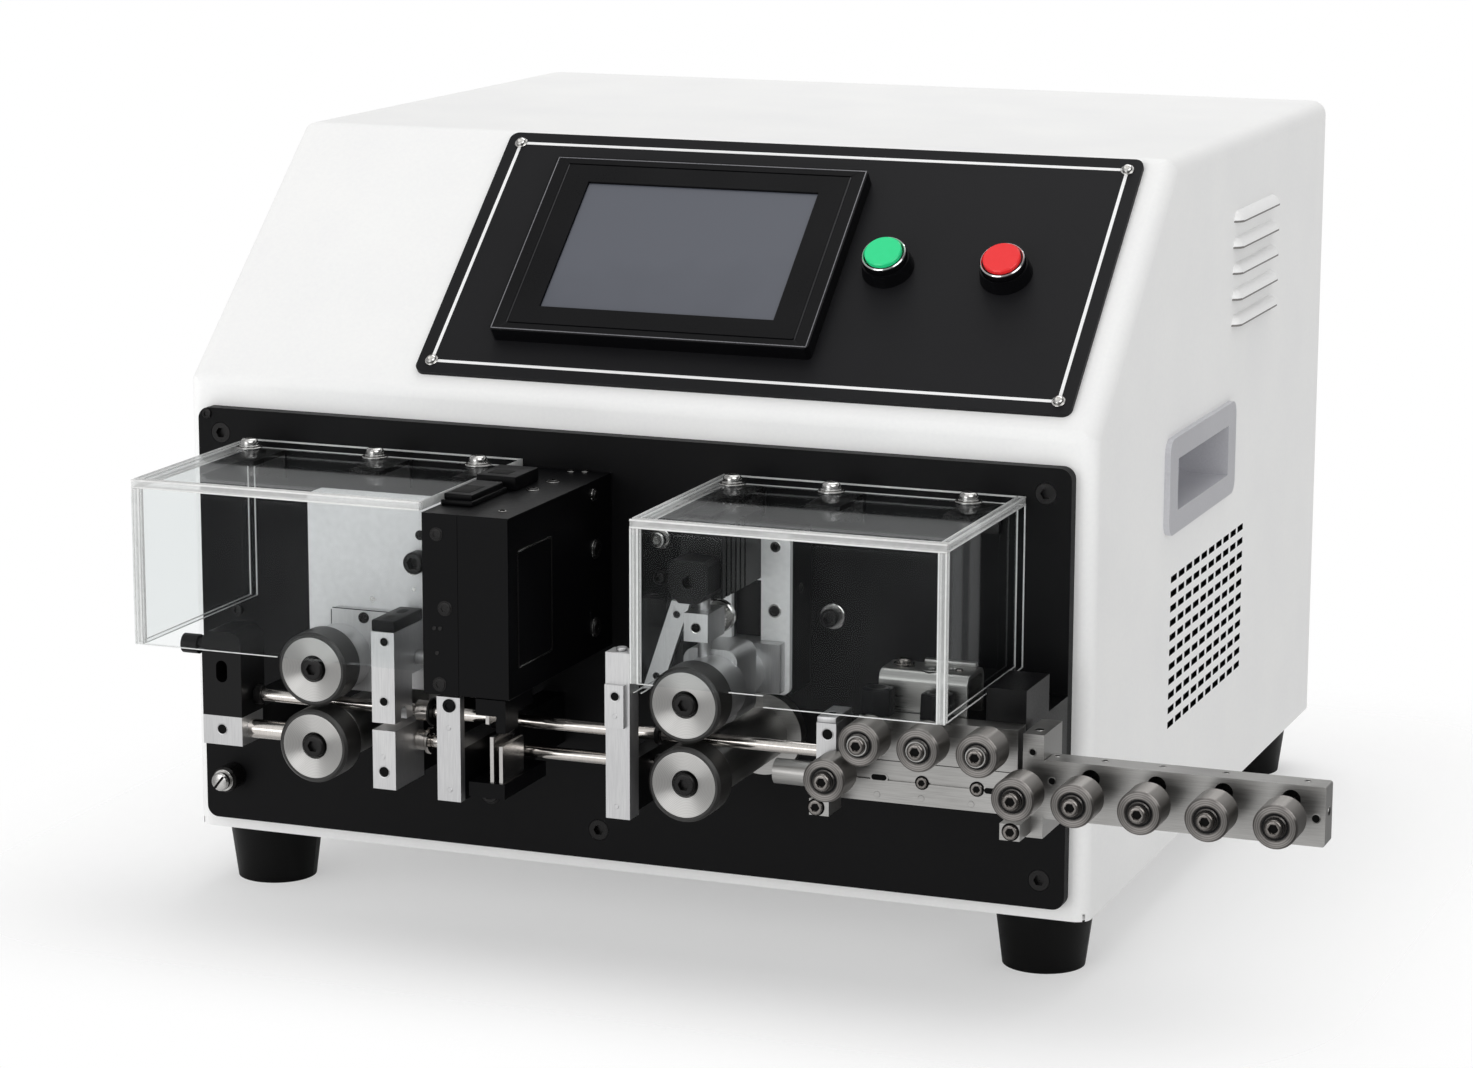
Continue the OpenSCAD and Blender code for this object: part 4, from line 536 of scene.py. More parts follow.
def make_cover_screws():
    """Low domed zinc screws on wide washers along the rear of both covers."""
    piece = bmesh.new()
    for x in (42.6, 100.5, 147.0, 257.9, 299.6, 356.3):
        add_shape(piece, ring(11.0, 4.0, 0.8, 0.2), facing((x, -26, 173.0), UP))
        add_shape(piece, ring(8.6, 4.0, 0.7, 0.2), facing((x, -26, 173.8), UP))
        add_shape(piece, socket_screw(7.4, 2.6, 3.0, 0.2), facing((x, -26, 174.5), UP))
    settle("cover_screws", piece, "machine", "ground_steel", bright_zinc)


def make_feed_screws():
    """Black cap screw that holds each feed roller on its spindle."""
    for place, (x, z) in FEED.items():
        piece = bmesh.new()
        add_shape(piece, ring(10.6, 4.0, 0.9, 0.2), facing((x, -93.0, z)))
        add_shape(piece, socket_screw(9.2, 3.4, 4.2, 0.1), facing((x, -93.9, z)))
        settle(place + "_screw", piece, place + "_feed", "black_screw", black_oxide)


def make_panel_trim():
    """White line printed round the panel, ending at a small screw in each corner."""
    left, right, low, high = 109.6, 381.2, 15.2, 138.8
    line, away = 0.7, 2.6
    ink = bmesh.new()
    for v in (low, high):
        add_shape(ink, block(left + away, right - away, -line, line, 0, 0.12, 0.04), on_panel(0, v))
    for x in (left, right):
        add_shape(ink, block(-line, line, low + away, high - away, 0, 0.12, 0.04), on_panel(x, 0))
    settle("panel_line", ink, "machine", "white_steel", white_ink)
    screws = bmesh.new()
    for x in (left, right):
        for v in (low, high):
            add_shape(screws, ring(5.6, 2.0, 0.5, 0.15), on_panel(x, v))
            add_shape(screws, socket_screw(4.4, 1.4, 2.0, 0.25), on_panel(x, v, PANEL_TOP + 0.4))
    settle("panel_screws", screws, "machine", "bright_ring", bright_zinc)


def make_button_caps():
    """Coloured cap of each push button in a chrome rim, on its black plunger."""
    for name, x, slot, look in (
        ("start", 293.5, "green_cap", green_cap), ("stop", 344.0, "red_cap", red_cap),
    ):
        cap, rim = bmesh.new(), bmesh.new()
        add_shape(cap, rod(15.6, 2.6, 0.45), on_panel(x, BUTTON_V, 10.4))
        settle(name + "_cap", cap, name + "_button", slot, look)
        add_shape(rim, ring(18.4, 16.8, 1.3, 0.35), on_panel(x, BUTTON_V, 10.1))
        settle(name + "_rim", rim, name + "_button", "bright_ring", chrome)


def make_bezel_lines():
    """Painted highlights on the outer edges of the display bezel, and a lighter line in the grooves at its
    sides.
    """
    left, right, low, high, face = 133.1, 274.1, 28.2, 126.2, 9.0
    edge, line, groove_in, groove_v = 0.75, 0.42, 6.72, 4.6
    piece = bmesh.new()
    # Grey strips along the outer edges: painted highlight
    for x in (left + edge, right - edge - line):
        add_shape(
            piece, block(x, x + line, low + edge, high - edge, 0, 0.1, 0.03), on_panel(0, 0, face - 0.04),
        )
    for v in (low + edge, high - edge - line):
        add_shape(
            piece, block(left + edge, right - edge, v, v + line, 0, 0.1, 0.03), on_panel(0, 0, face - 0.04),
        )
    for x in (left + groove_in, right - groove_in - 0.3):
        add_shape(
            piece, block(x, x + 0.3, low + groove_v, high - groove_v, 0, 0.5, 0.05),
            on_panel(0, 0, face - 0.52), 1,
        )
    settle("bezel_lines", piece, "machine", "black_plastic", painted_bezel_highlight, lighter_groove_line)


def make_plate_fittings():
    """Screws on the front plate between the mechanisms, and the earth terminal at its lower left."""
    piece = bmesh.new()
    add_shape(piece, ring(10.6, 4.0, 0.9), facing((293.6, PLATE_FACE, 118.2)))
    add_shape(piece, socket_screw(7.4, 5.0, 3.6, 0.1), facing((293.6, -6.9, 118.2)), 1)
    add_shape(piece, ring(8.6, 4.0, 0.9), facing((219.1, PLATE_FACE, 144.3)))
    add_shape(piece, socket_screw(6.6, 3.4, 3.2, 0.1), facing((219.1, -6.9, 144.3)))
    add_shape(piece, socket_screw(5.4, 3.6, 2.6, 0.2), facing((219.5, PLATE_FACE, 128.3)), 1)
    add_shape(piece, ring(8.8, 4.0, 0.5, 0.2), facing((142.1, PLATE_FACE, 29.2)), 1)
    add_shape(piece, socket_screw(7.6, 1.2, 4.2, 0.06), facing((142.1, -6.4, 29.2)), 1)
    add_shape(piece, socket_screw(4.2, 0.9, 2.2, 0.1), facing((12.2, PLATE_FACE, 182.3)), 1)
    add_shape(piece, socket_screw(5.2, 1.6, 2.6, 0.15), facing((25.0, PLATE_FACE, 98.5)), 1)
    add_shape(piece, rod(11.0, 10.0, 0.8), facing((21.5, PLATE_FACE, 25.6)), 1)
    add_shape(piece, ring(9.4, 3.0, 0.8, 0.2), facing((21.5, -16, 25.6)))
    add_shape(
        piece, spun([(0, 0), (4.0, 0), (4.0, 2.6), (3.4, 3.4), (2.0, 3.8), (0, 3.9)]),
        facing((21.5, -16.8, 25.6)),
    )
    add_shape(
        piece, block(-3.3, 3.3, -0.5, 0.5, 0, 0.25, 0.05),
        facing((21.5, -20.55, 25.6)) @ Matrix.Rotation(0.9, 4, "Z"), 2,
    )
    settle("plate_fittings", piece, "machine", "ground_steel", bright_zinc, black_oxide, painted_hole_shade)


def make_cutter_fittings():
    """Screws and dowels of the cutter's plates, its raised frame with painted highlights on its top and
    bottom bars, and the black caps on top.
    """
    piece = bmesh.new()
    for x, z, d in ((167.2, 161.8, 4.6), (170.5, 132.6, 5.2), (167.9, 102.1, 5.0)):
        add_shape(piece, ring(d + 0.9, d - 1.2, 0.25, 0.1), facing((x, CUTTER_FRONT, z)))
        add_shape(piece, socket_screw(d, 0.5, d * 0.52, 0.05), facing((x, -109.05, z)))
    for x, z in ((165.9, 124.4), (168.4, 124.5), (167.0, 114.6)):
        add_shape(piece, rod(1.7, 0.3, 0.12), facing((x, CUTTER_FRONT, z)))
    for y, z, d in ((-23.5, 141.6, 7.0), (-23.9, 109.3, 7.0), (-25.3, 164.2, 4.0)):
        add_shape(piece, ring(d + 1.4, d - 1.5, 0.5, 0.2), facing((CUTTER_SIDE, y, z), RIGHT), 1)
        add_shape(piece, socket_screw(d, 1.4, d * 0.5, 0.14), facing((197.7, y, z), RIGHT))
    for x, y, d in (
        (182.7, -51.7, 4.6), (183.5, -33.5, 4.6), (189.6, -96.3, 2.2), (181.5, -10.6, 2.4),
        (187.0, -8.9, 2.4),
    ):
        add_shape(piece, ring(d + 1.0, d - 1.0, 0.4, 0.12), facing((x, y, CUTTER_TOP), UP), 1)
        add_shape(piece, socket_screw(d, 0.9, d * 0.5, 0.14), facing((x, y, 170.1), UP))
    settle("cutter_screws", piece, "machine", "black_screw", black_oxide, bright_zinc)
    edge = bmesh.new()
    # The top and bottom bars in bright zinc are a painted highlight on the frame's level edges; the upright
    # bars and corner dowels stay black
    for z in (109.4, 155.4):
        add_shape(edge, block(CUTTER_SIDE, 197.9, -99.3, -68.6, z - 0.35, z + 0.35, 0.15), Matrix(), 1)
    for y in (-100.3, -67.6):
        add_shape(edge, block(CUTTER_SIDE, 197.9, y - 0.4, y + 0.4, 110.4, 154.4, 0.15))
        for z in (109.9, 154.9):
            add_shape(
                edge, rod(1.5, 0.4, 0.15), facing((CUTTER_SIDE, y + (0.5 if y < -80 else -0.5), z), RIGHT),
            )
    settle("cutter_frame", edge, "machine", "black_screw", black_oxide, bright_zinc)
    cap = bmesh.new()
    add_shape(cap, block(161.6, 175.4, -93.0, -60.0, 170.0, 172.2, 0.5))
    add_shape(cap, block(162.4, 174.6, -91.6, -62.0, 172.0, 174.6, 0.6))
    add_shape(cap, block(160.2, 177.6, -57.0, -34.0, 170.0, 175.8, 0.7))
    add_shape(cap, block(164.0, 172.0, -88.0, -74.0, 174.5, 174.75, 0.1), Matrix(), 1)
    add_shape(cap, block(163.5, 172.5, -53.0, -45.0, 175.7, 175.95, 0.1), Matrix(), 1)
    settle("cutter_caps", cap, "machine", "black_anodised", anodised, painted_hole_shade)


def make_guide_details():
    """Holes and dowels in the wire guides, the black caps, the latch and the stub bar beside the cutter."""
    piece = bmesh.new()
    for x, y, z, d in (
        (138.7, -98, 114.1, 3.4), (138.2, -98, 89.8, 3.4), (137.9, -98, 61.1, 4.2), (61.5, -90, 69.5, 4.0),
        (240.7, -106.2, 103.2, 3.4),
        (318.5, -81, 89.6, 4.2),
    ):
        bore(piece, d, (x, y, z))
    for x, y, z in (
        (137.5, -98, 67.2), (171.3, -108, 59.6), (171.0, -108, 84.6), (240.3, -104, 58.9),
        (240.6, -106.2, 95.4),
    ):
        add_shape(piece, rod(2.0, 0.2, 0.1), facing((x, y, z)))
    add_shape(piece, rod(4.6, 1.4, 0.4), facing((240.9, -99.5, 120.0), UP))
    add_shape(piece, block(314.1, 321.9, -80.9, -62.4, 94.0, 96.4, 0.4))
    bore(piece, 3.0, (318.0, -74.0, 96.4), UP)
    add_shape(piece, rod(6.0, 18.0, 0.3), facing((143.0, -77, 104.0), RIGHT))
    add_shape(piece, ring(9.0, 6.0, 3.0, 0.5), facing((151.0, -77, 104.0), RIGHT))
    settle("guide_details", piece, "machine", "brushed_aluminium", brushed_up, painted_hole_shade)
    cap = bmesh.new()
    add_shape(cap, block(133.0, 143.0, -97.6, -71.6, 118.0, 122.6, 0.5))
    for y in (-91.5, -79.5):
        add_shape(
            cap, pill(6.6, 3.6, 0.12), facing((138.0, y, 122.6), UP) @ Matrix.Rotation(math.pi / 2, 4, "Z"),
            1,
        )
    add_shape(cap, socket_screw(5.4, 0.9, 2.8, 0.1), facing((171.4, -108, 93.6)))
    settle("guide_caps", cap, "machine", "black_anodised", anodised, painted_hole_shade)


def make_rod_collars():
    """Bushes and black rings on the two guide rods."""
    piece = bmesh.new()
    for x, z, d, length, look in (
        (70.6, 82.0, 8.0, 3.2, 1), (143.0, 82.0, 8.4, 6.0, 0), (149.0, 82.0, 11.5, 1.4, 1),
        (176.2, 82.0, 8.6, 2.6, 1),
        (143.0, 70.0, 8.4, 4.6, 0), (147.6, 70.0, 11.0, 1.8, 0), (176.2, 70.0, 8.6, 2.6, 1),
        (246.2, 82.0, 8.0, 2.4, 1),
        (246.2, 70.0, 8.0, 2.4, 1), (230.6, 82.0, 8.0, 2.4, 1),
    ):
        add_shape(piece, ring(d, 5.0, length, 0.4), facing((x, -77, z), RIGHT), look)
    add_shape(piece, ring(7.8, 7.0, 16.4, 0.15), facing((70.7, -82, 69), RIGHT))
    settle("rod_collars", piece, "machine", "ground_steel", ground, black_oxide)


def make_bracket_fittings():
    """Screws of the roller brackets, the angle by the press head, the bush on the right carriage, and a
    screw with black painted shadow lines round the left carriage's flange.
    """
    piece = bmesh.new()
    add_shape(piece, socket_screw(9.2, 6.0, 4.4, 0.12), facing((140.0, LEFT_BRACKET_FACE, 140.9)))
    add_shape(piece, socket_screw(4.0, 0.6, 2.0, 0.1), facing((140.6, LEFT_BRACKET_FACE, 151.5)))
    for x, z, d in ((119.1, 123.6, 2.4), (137.6, 129.1, 1.8), (137.1, 137.45, 5.7)):
        add_shape(piece, rod(d, 0.12, 0.05), facing((x, LEFT_BRACKET_FACE, z)), 1)
    for x, z, d in ((277.6, 124.0, 4.4), (278.4, 94.6, 5.0), (277.8, 150.0, 3.2)):
        add_shape(piece, ring(d + 1.2, d - 1.0, 0.3, 0.12), facing((x, RIGHT_BRACKET_FACE, z)), 1)
        add_shape(piece, socket_screw(d, 1.0, d * 0.5, 0.14), facing((x, -30.1, z)))
    add_shape(piece, socket_screw(4.0, 0.9, 2.0, 0.14), facing((284, -18.0, 131.5), RIGHT))
    settle("bracket_screws", piece, "machine", "black_screw", black_oxide, bright_zinc)
    angle = bmesh.new()
    add_shape(angle, block(250.6, 254.4, -60.0, -32.0, 141.0, 166.5, 0.5))
    add_shape(angle, block(250.6, 263.0, -60.0, -36.0, 165.0, 167.0, 0.4))
    add_shape(angle, rod(4.6, 2.2, 0.6), facing((250.6, -52.0, 156.0), LEFT))
    settle("press_angle", angle, "machine", "black_anodised", anodised)
    flange = bmesh.new()
    # Black strips along the flange's top, left and right edges: painted shadow where the flange stands
    # proud of the bracket
    flange_shadow_width = 0.4
    for x0, x1, z0, z1 in (
        (102.6, 129.5, 119.3, 119.3 + flange_shadow_width), (101.9, 101.9 + flange_shadow_width, 104.0, 118.8),
        (131.45 - flange_shadow_width, 131.45, 88.0, 117.8),
    ):
        add_shape(flange, block(x0, x1, -71.06, -70.8, z0, z1, 0.05), Matrix(), 1)
    add_shape(flange, socket_screw(4.6, 0.6, 2.4, 0.05), facing((116.6, -71, 116.4)), 1)
    settle("left_carriage_screw", flange, "left_press", "black_screw", bright_zinc, black_oxide)
    bush = bmesh.new()
    add_shape(bush, knurled(10.0, 8.0), facing((262.5, -61.5, 125.5), BACK))
    add_shape(bush, ring(13.4, 4.0, 3.0, 0.5), facing((262.5, -53.5, 125.5), BACK))
    add_shape(bush, rod(5.0, 6.0, 0.3), facing((262.5, -50.5, 125.5), BACK))
    bore(bush, 3.6, (262.5, -77.0, 125.8))
    settle("press_bush", bush, "right_press", "ground_steel", bright_zinc, painted_hole_shade)


def make_straightener_details():
    """Slots, screws and dowels on the straightener's bar, post, lugs, arm and clamp."""
    piece = bmesh.new()
    for x, z in ((336.5, 72.2), (382.0, 71.2)):
        add_shape(piece, pill(7.4, 3.4, 0.2), facing((x, BAR_FACE, z)))
        add_shape(piece, pill(6.2, 2.3, 0.26), facing((x, BAR_FACE, z)), 1)
    for x, y, z, d in (
        (405.6, BAR_FACE, 77.5, 2.6), (507.4, BAR_FACE, 73.3, 3.0), (397.9, BAR_FACE, 88.0, 2.4),
    ):
        bore(piece, d, (x, y, z))
    for x, y, z, d in (
        (353.9, BAR_FACE, 71.7, 4.6), (376.0, BAR_FACE, 71.4, 5.0), (315.8, -86, 61.8, 6.0),
        (393.9, -86, 60.0, 6.0),
    ):
        add_shape(piece, ring(d + 1.0, d - 0.6, 0.2, 0.08), facing((x, y, z)), 1)
        add_shape(piece, socket_screw(d, d * 0.2, d * 0.55, 0.1), facing((x, y, z)), 2)
        add_shape(piece, rod(d * 0.52, 0.1, 0.02), facing((x, y - d * 0.1, z)), 1)
    for x, z in ((335.7, 65.2), (353.6, 65.4), (373.7, 65.2)):
        add_shape(piece, rod(2.6, 0.16, 0.08), facing((x, BAR_FACE, z)))
    for x, y in ((405.4, -64.5), (424.3, -64.5), (446.8, -64.5), (471.2, -64.5), (502.3, -64.5)):
        bore(piece, 2.0, (x, y, 85.5), UP, 0.5)
    bore(piece, 3.4, (398.1, -64.0, 95.0), UP)
    add_shape(piece, ring(8.4, 3.4, 0.6, 0.2), facing((338.2, -48.5, 112.0), UP), 2)
    add_shape(piece, socket_screw(6.2, 2.0, 3.0, 0.16), facing((338.2, -48.5, 112.5), UP), 2)
    add_shape(piece, ring(7.6, 3.0, 0.5, 0.2), facing((351.5, -54.5, 112.0), UP))
    add_shape(piece, block(345.0, 366.0, -44.2, -41.2, 111.9, 113.6, 0.4))
    add_shape(piece, socket_screw(3.0, 0.8, 1.6, 0.14), facing((361.8, -52.0, 112.0), UP), 2)
    bore(piece, 3.2, (511.0, -66.0, 75.0), RIGHT)
    settle("straightener_details", piece, "machine", "brushed_aluminium", brushed, painted_hole_shade, oiled_steel)


def make_adjuster_caps():
    """Black plastic caps over the adjuster posts of the upper straightening rollers."""
    piece = bmesh.new()
    for x in (334.0, 358.0):
        shape = bmesh.new()
        bmesh.ops.create_cone(
            shape, cap_ends=True, segments=6, radius1=6.9, radius2=6.5, depth=10.3,
            matrix=Matrix.Translation((0, 0, 5.15)),
        )
        bevel(shape, shape.edges[:], 0.4)
        add_shape(piece, shape, facing((x, -67.0, 96.0), UP))
        add_shape(piece, ring(9.0, 6.0, 0.4, 0.15), facing((x, -67.0, 106.2), UP))
        add_shape(piece, rod(6.0, 0.3, 0.1), facing((x, -67.0, 106.2), UP), 1)
    settle("adjuster_caps", piece, "upper_straightener", "black_plastic", abs_plastic, painted_hole_shade)


def make_roller_trim():
    """Bright stud head and black bearing seal in the face of each straightening roller."""
    fixed, lifting = bmesh.new(), bmesh.new()
    for place, (x, z) in STRAIGHT.items():
        heads = lifting if place.startswith("upper") else fixed
        add_shape(heads, socket_screw(7.0, 1.8, 3.6, 0.16), facing((x, -98.2, z)))
        add_shape(heads, rod(3.5, 0.1, 0.02), facing((x, -98.94, z)), 1)
        seal = bmesh.new()
        add_shape(seal, ring(10.8, 8.6, 0.5, 0.12), facing((x, -96.1, z)))
        settle(place + "_seal", seal, place, "black_plastic", abs_plastic)
    settle("stud_heads", fixed, "machine", "ground_steel", oiled_steel, painted_hole_shade)
    settle("slide_stud_heads", lifting, "upper_straightener", "ground_steel", oiled_steel, painted_hole_shade)
    nuts = bmesh.new()
    for place, (x, z) in STRAIGHT.items():
        if place.startswith("arm"):
            add_shape(nuts, ring(17.6, 4.6, 1.4, 0.3), facing((x, -61, z), BACK))
            add_shape(nuts, socket_screw(9.0, 4.0, 4.0, 0.1), facing((x, -59.6, z), BACK))
    settle("arm_nuts", nuts, "machine", "black_screw", black_oxide)


def make_vent_shade_sheets():
    """Black sheets behind the vents of both sides: painted shade for the dark inside the case."""
    for name, x0, x1 in (("left_vent_shade_sheet", 1.8, 6.0), ("right_vent_shade_sheet", 394.0, 398.2)):
        piece = block(x0, x1, 111.0, 247.0, 46.0, 124.0, 0.6)
        faces = [f for f in piece.faces if abs(f.normal.x) > 0.9 and f.calc_area() > 1000]
        bmesh.ops.inset_region(piece, faces=faces, thickness=3.0, depth=-0.6)
        settle(name, piece, "machine", "rubber_foot", painted_vent_shade)


def finish_sides():
    """Paints shade on the punched walls of the vents, and gives the louvres' hoods a painted highlight and
    the lowest band of their lips a painted shadow.
    """
    lowest, pitch, lip = 211.0, 11.4, 0.75
    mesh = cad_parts["case_shell"].data
    for look in (painted_vent_shade, painted_louvre_highlight, painted_lip_shadow):
        mesh.materials.append(look)
    for face in mesh.polygons:
        at = face.center * 1000 - CORNER
        in_vents = 111 < at.y < 247 and 46 < at.z < 124
        if max(at.x - CASE_WIDTH, -at.x) > 0.1:
            # Hoods get the painted highlight, the lowest band of each lip the painted shadow
            face.material_index = 3 if (at.z - lowest) % pitch < lip else 2
        # Punched walls of the vents get the painted shade
        if abs(face.normal.x) < 0.5 and in_vents and min(at.x, CASE_WIDTH - at.x) < 1.6:
            face.material_index = 1


def make_cover_edges():
    """Edges of the acrylic covers: painted highlights on the corners along each joint and a paler painted
    sheen in the band between.
    """
    slim, hair, t, raised = 0.7, 0.42, 3.6, 4.5
    for name, x0, x1, z0, walls in (
        ("left_cover_edges", 31.0, 158.0, 105.5, (31.0,)),
        ("right_cover_edges", 246.3, 373.5, 104.0, (246.3, 369.9)),
    ):
        front, back, top = -105.0, -6.0, 173.0
        piece = bmesh.new()
        joints = [(x0, x1, front, front + t, top - t, top)]
        for x in walls:
            joints.append((x, x + t, front + t, back, top - t, top))
            joints.append((x, x + t, front, front + t, z0 + (raised if x == 246.3 else 0), top - t))
        # Each joint: a block of painted sheen with strips of painted highlight along its corners
        for a0, a1, b0, b1, c0, c1 in joints:
            add_shape(
                piece, block(a0 + 0.05, a1 - 0.05, b0 + 0.05, b1 - 0.05, c0 + 0.05, c1 - 0.05, 0.3),
                Matrix(), 1,
            )
            lengths = (a1 - a0, b1 - b0, c1 - c0)
            along = lengths.index(max(lengths))
            spans = ((a0, a1), (b0, b1), (c0, c1))
            for first in (0, 1):
                for second in (0, 1):
                    box = []
                    for axis, (low, high) in enumerate(spans):
                        if axis == along:
                            box += [low + 0.04, high - 0.04]
                        else:
                            side = first if axis == min(k for k in range(3) if k != along) else second
                            box += [low + 0.02, low + slim] if side == 0 else [high - slim, high - 0.02]
                    add_shape(piece, block(*box, 0.12))
        # Rims along the rear, top and lower edges: painted highlight as well
        rims = [
            (x0 + t, x1, back - slim, back - 0.02, top - slim, top - 0.02),
            (x0 + t, x1, back - slim, back - 0.02, top - t, top - t + 0.4),
        ]
        rims += [
            (x + a, x + a + 0.5, back - slim, back - 0.02, z0, top - t)
            for x in walls for a in (0.02, t - 0.52)
        ]
        rims += [
            (x + a, x + a + 0.45, front + t, back, z0 + 0.02, z0 + 0.45)
            for x in walls for a in (0.02, t - 0.47)
        ]
        if name.startswith("left"):
            rims += [
                (x0 + t, 95.0, front + 0.02, front + hair, z0 + 0.02, z0 + hair),
                (x1 - slim, x1 - 0.02, front + t, back, top - t, top),
            ]
        else:
            rims += [
                (a, b, front + 0.02, front + hair, z0 + raised + 0.02, z0 + raised + hair)
                for a, b in ((x0 + t, 256.0), (287.0, 301.0))
            ]
            rims += [(301.0, x1 - t, front + 0.02, front + hair, z0 + 0.02, z0 + hair)]
        for rim in rims:
            add_shape(piece, block(*rim, 0.1))
        settle(name, piece, "machine", "clear_acrylic", painted_edge_highlight, painted_band_sheen)


def make_rear_screws():
    """Zinc screws round the rear panel."""
    piece = bmesh.new()
    for x, z in ((12, 14), (200, 14), (388, 14), (12, 150), (388, 150), (12, 280), (200, 280), (388, 280)):
        add_shape(piece, socket_screw(6.4, 1.8, 3.0, 0.2), facing((x, 380.0, z), BACK))
    settle("rear_screws", piece, "machine", "ground_steel", bright_zinc)


make_cover_screws()
make_feed_screws()
make_panel_trim()
make_button_caps()
make_bezel_lines()
make_plate_fittings()
make_cutter_fittings()
make_guide_details()
make_rod_collars()
make_bracket_fittings()
make_straightener_details()
make_adjuster_caps()
make_roller_trim()
make_vent_shade_sheets()
finish_sides()
make_cover_edges()
make_rear_screws()


def make_floor():
    """Pale studio floor that fades out into the white background away from the machine."""
    shape = bmesh.new()
    bmesh.ops.create_circle(shape, cap_ends=True, segments=96, radius=2.6)
    mesh = bpy.data.meshes.new("studio_floor")
    shape.to_mesh(mesh)
    shape.free()
    floor = bpy.data.objects.new("studio_floor", mesh)
    bpy.context.scene.collection.objects.link(floor)
    made, tree, out = material("pale_studio_floor")
    where = add(tree, "ShaderNodeTexCoord")
    away = add(
        tree, "ShaderNodeVectorMath", {0: where.outputs["Object"]}, {1: (-0.05, 0.05, 0)},
        operation="SUBTRACT",
    )
    folded = add(tree, "ShaderNodeVectorMath", {0: away.outputs[0]}, operation="ABSOLUTE")
    past = add(
        tree, "ShaderNodeVectorMath", {0: folded.outputs[0]}, {1: (0.2, 0.19, 0)}, operation="SUBTRACT",
    )
    outside = add(tree, "ShaderNodeVectorMath", {0: past.outputs[0]}, operation="MAXIMUM")
    reach = add(tree, "ShaderNodeVectorMath", {0: outside.outputs[0]}, operation="LENGTH")
    fade = smooth(tree, reach.outputs["Value"], 0.015, 0.17)
    path = add(tree, "ShaderNodeLightPath")
    lift = add(tree, "ShaderNodeMath", {0: path.outputs["Is Camera Ray"]}, {1: 0.4}, operation="MULTIPLY")
    matt = add(tree, "ShaderNodeBsdfDiffuse", None, {0: linear("#FBFBFB")})
    glow = add(tree, "ShaderNodeEmission", None, {1: 1.0})
    lit = add(tree, "ShaderNodeMixShader", {0: lift.outputs[0], 1: matt.outputs[0], 2: glow.outputs[0]})
    gone = add(tree, "ShaderNodeBsdfTransparent")
    both = add(tree, "ShaderNodeMixShader", {0: fade.outputs[0], 1: lit.outputs[0], 2: gone.outputs[0]})
    tree.links.new(both.outputs[0], out.inputs["Surface"])
    mesh.materials.append(made)


def along(tree, where, axis):
    """How far a direction of the room points along an axis."""
    links = {0: where.outputs["Generated"]}
    return add(tree, "ShaderNodeVectorMath", links, {1: axis}, operation="DOT_PRODUCT")


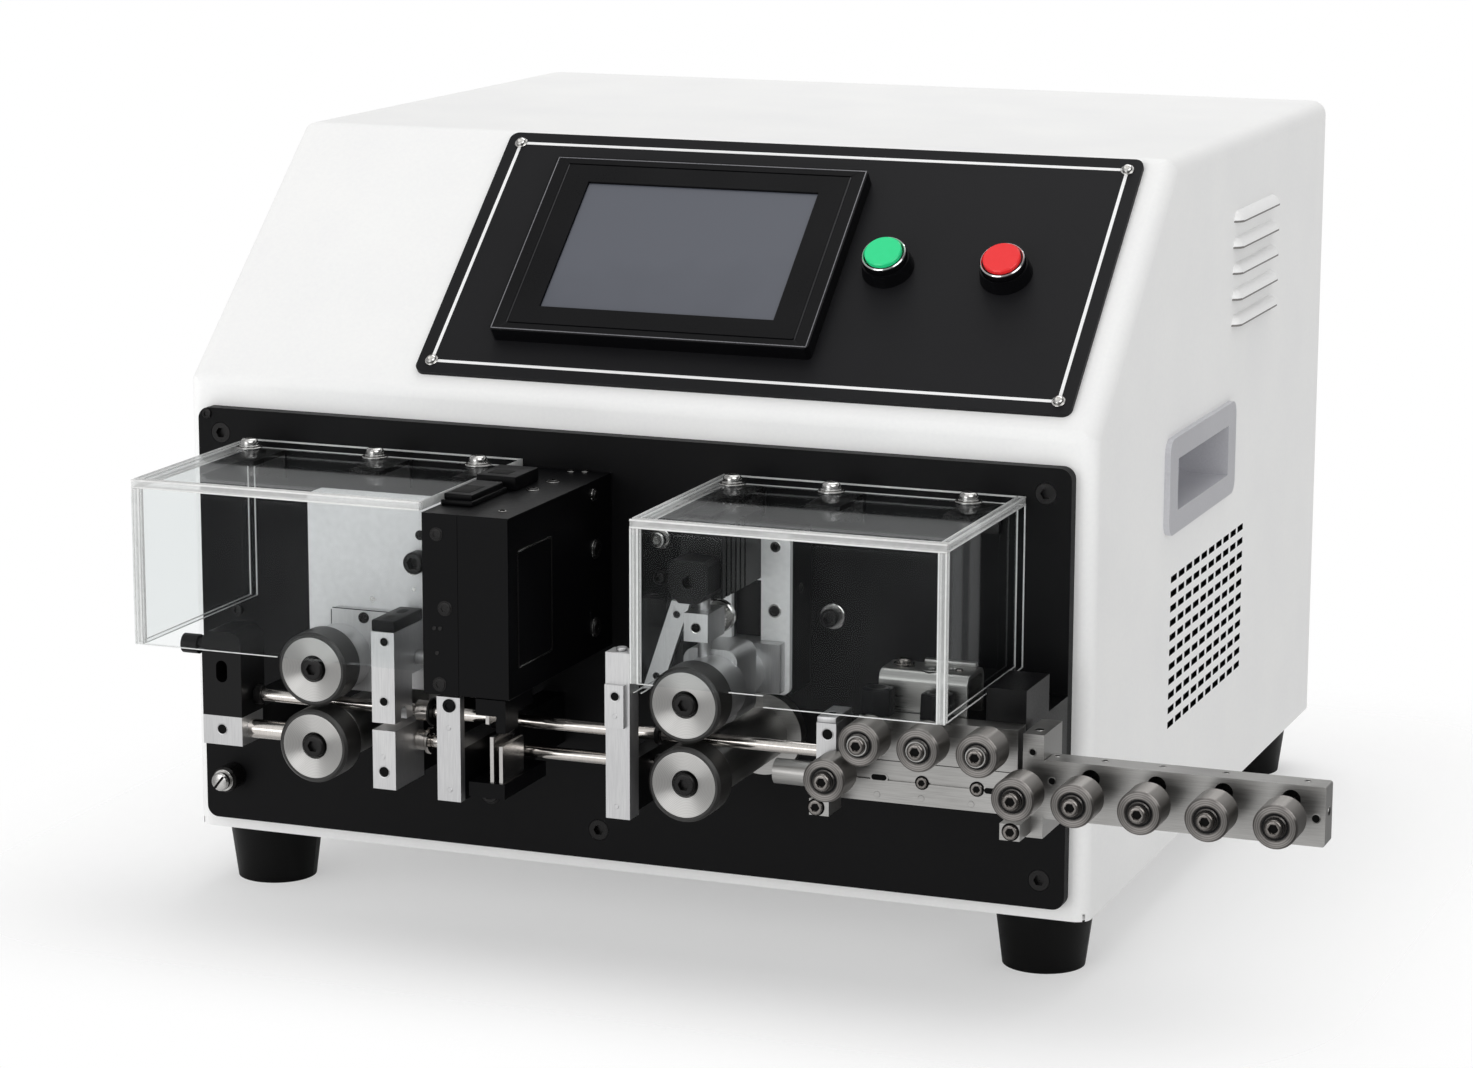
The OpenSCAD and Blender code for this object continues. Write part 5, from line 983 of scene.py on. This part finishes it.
def make_world():
    """White background for camera and glass; metal sees a tall bright window in a dimmer room."""
    world = bpy.data.worlds.new("white_studio")
    bpy.context.scene.world = world
    world.use_nodes = True
    tree = world.node_tree
    tree.nodes.clear()
    path = add(tree, "ShaderNodeLightPath")
    seen = add(
        tree, "ShaderNodeMath", {0: path.outputs["Is Camera Ray"], 1: path.outputs["Is Transmission Ray"]},
        operation="MAXIMUM",
    )
    where = add(tree, "ShaderNodeTexCoord")
    low_front = along(tree, where, (-0.25, -0.78, -0.57))
    sky = add(tree, "ShaderNodeMapRange", {0: low_front.outputs["Value"]}, {1: -1, 2: 1, 3: 0.46, 4: 1.26})
    side = along(tree, where, (-0.8, -0.2, 0.55))
    room = smooth(tree, side.outputs["Value"], -0.65, 0.3, 0.3, 1.0)
    toward = along(tree, where, (0.6, -0.52, 0.61))
    panel = smooth(tree, toward.outputs["Value"], 0.86, 0.95, 0.0, 2.4)
    across = along(tree, where, (0.934, -0.357, 0))
    off_middle = add(tree, "ShaderNodeMath", {0: across.outputs["Value"]}, operation="ABSOLUTE")
    window = smooth(tree, off_middle.outputs[0], 0.16, 0.5, 1.0, 0.4)
    strip = add(tree, "ShaderNodeMath", {0: room.outputs[0], 1: window.outputs[0]}, operation="MULTIPLY")
    mirrored = add(tree, "ShaderNodeMath", {0: strip.outputs[0], 1: panel.outputs[0]}, operation="ADD")
    level = add(
        tree, "ShaderNodeMix",
        {0: path.outputs["Is Glossy Ray"], 2: sky.outputs[0], 3: mirrored.outputs[0]},
    )
    soft = add(tree, "ShaderNodeBackground", {"Strength": level.outputs[0]}, {0: linear("#FFFFFF")})
    white = add(tree, "ShaderNodeBackground", None, {0: linear("#FFFFFF")})
    both = add(tree, "ShaderNodeMixShader", {0: seen.outputs[0], 1: soft.outputs[0], 2: white.outputs[0]})
    out = add(tree, "ShaderNodeOutputWorld")
    tree.links.new(both.outputs[0], out.inputs[0])


def make_lamp(name, at, target, size, power):
    """Softbox that faces a point."""
    lamp = bpy.data.lights.new(name, "AREA")
    lamp.shape = "RECTANGLE"
    lamp.size, lamp.size_y = size
    lamp.energy = power
    made = bpy.data.objects.new(name, lamp)
    made.location = at
    made.rotation_euler = (Vector(target) - Vector(at)).to_track_quat("-Z", "Y").to_euler()
    bpy.context.scene.collection.objects.link(made)


def make_camera():
    """Camera at the photograph's place, with its long lens."""
    yaw, pitch, roll = (math.radians(a) for a in (21.053, 11.646, 0.154))
    ahead = Vector((-math.sin(yaw) * math.cos(pitch), math.cos(yaw) * math.cos(pitch), -math.sin(pitch)))
    right = Vector((math.cos(yaw), math.sin(yaw), 0))
    up = right.cross(ahead)
    right, up = right * math.cos(roll) + up * math.sin(roll), up * math.cos(roll) - right * math.sin(roll)
    lens = bpy.data.cameras.new("photo_camera")
    lens.sensor_width = 36
    lens.sensor_fit = "HORIZONTAL"
    lens.lens = 98.93
    lens.clip_end = 20
    camera = bpy.data.objects.new("photo_camera", lens)
    turn = Matrix((right, up, -ahead)).transposed().to_4x4()
    camera.matrix_world = Matrix.Translation((0.57265, -1.63595, 0.5042)) @ turn
    bpy.context.scene.collection.objects.link(camera)
    bpy.context.scene.camera = camera


make_floor()
make_world()
make_lamp("top_softbox", (-0.1, 1.1, 2.0), (0, 0, 0.15), (1.6, 1.6), 16)
make_lamp("front_fill", (-0.7, -2.3, 0.4), (0, -0.2, 0.15), (1.4, 0.7), 5)
make_camera()
bpy.context.scene.view_settings.view_transform = "Standard"
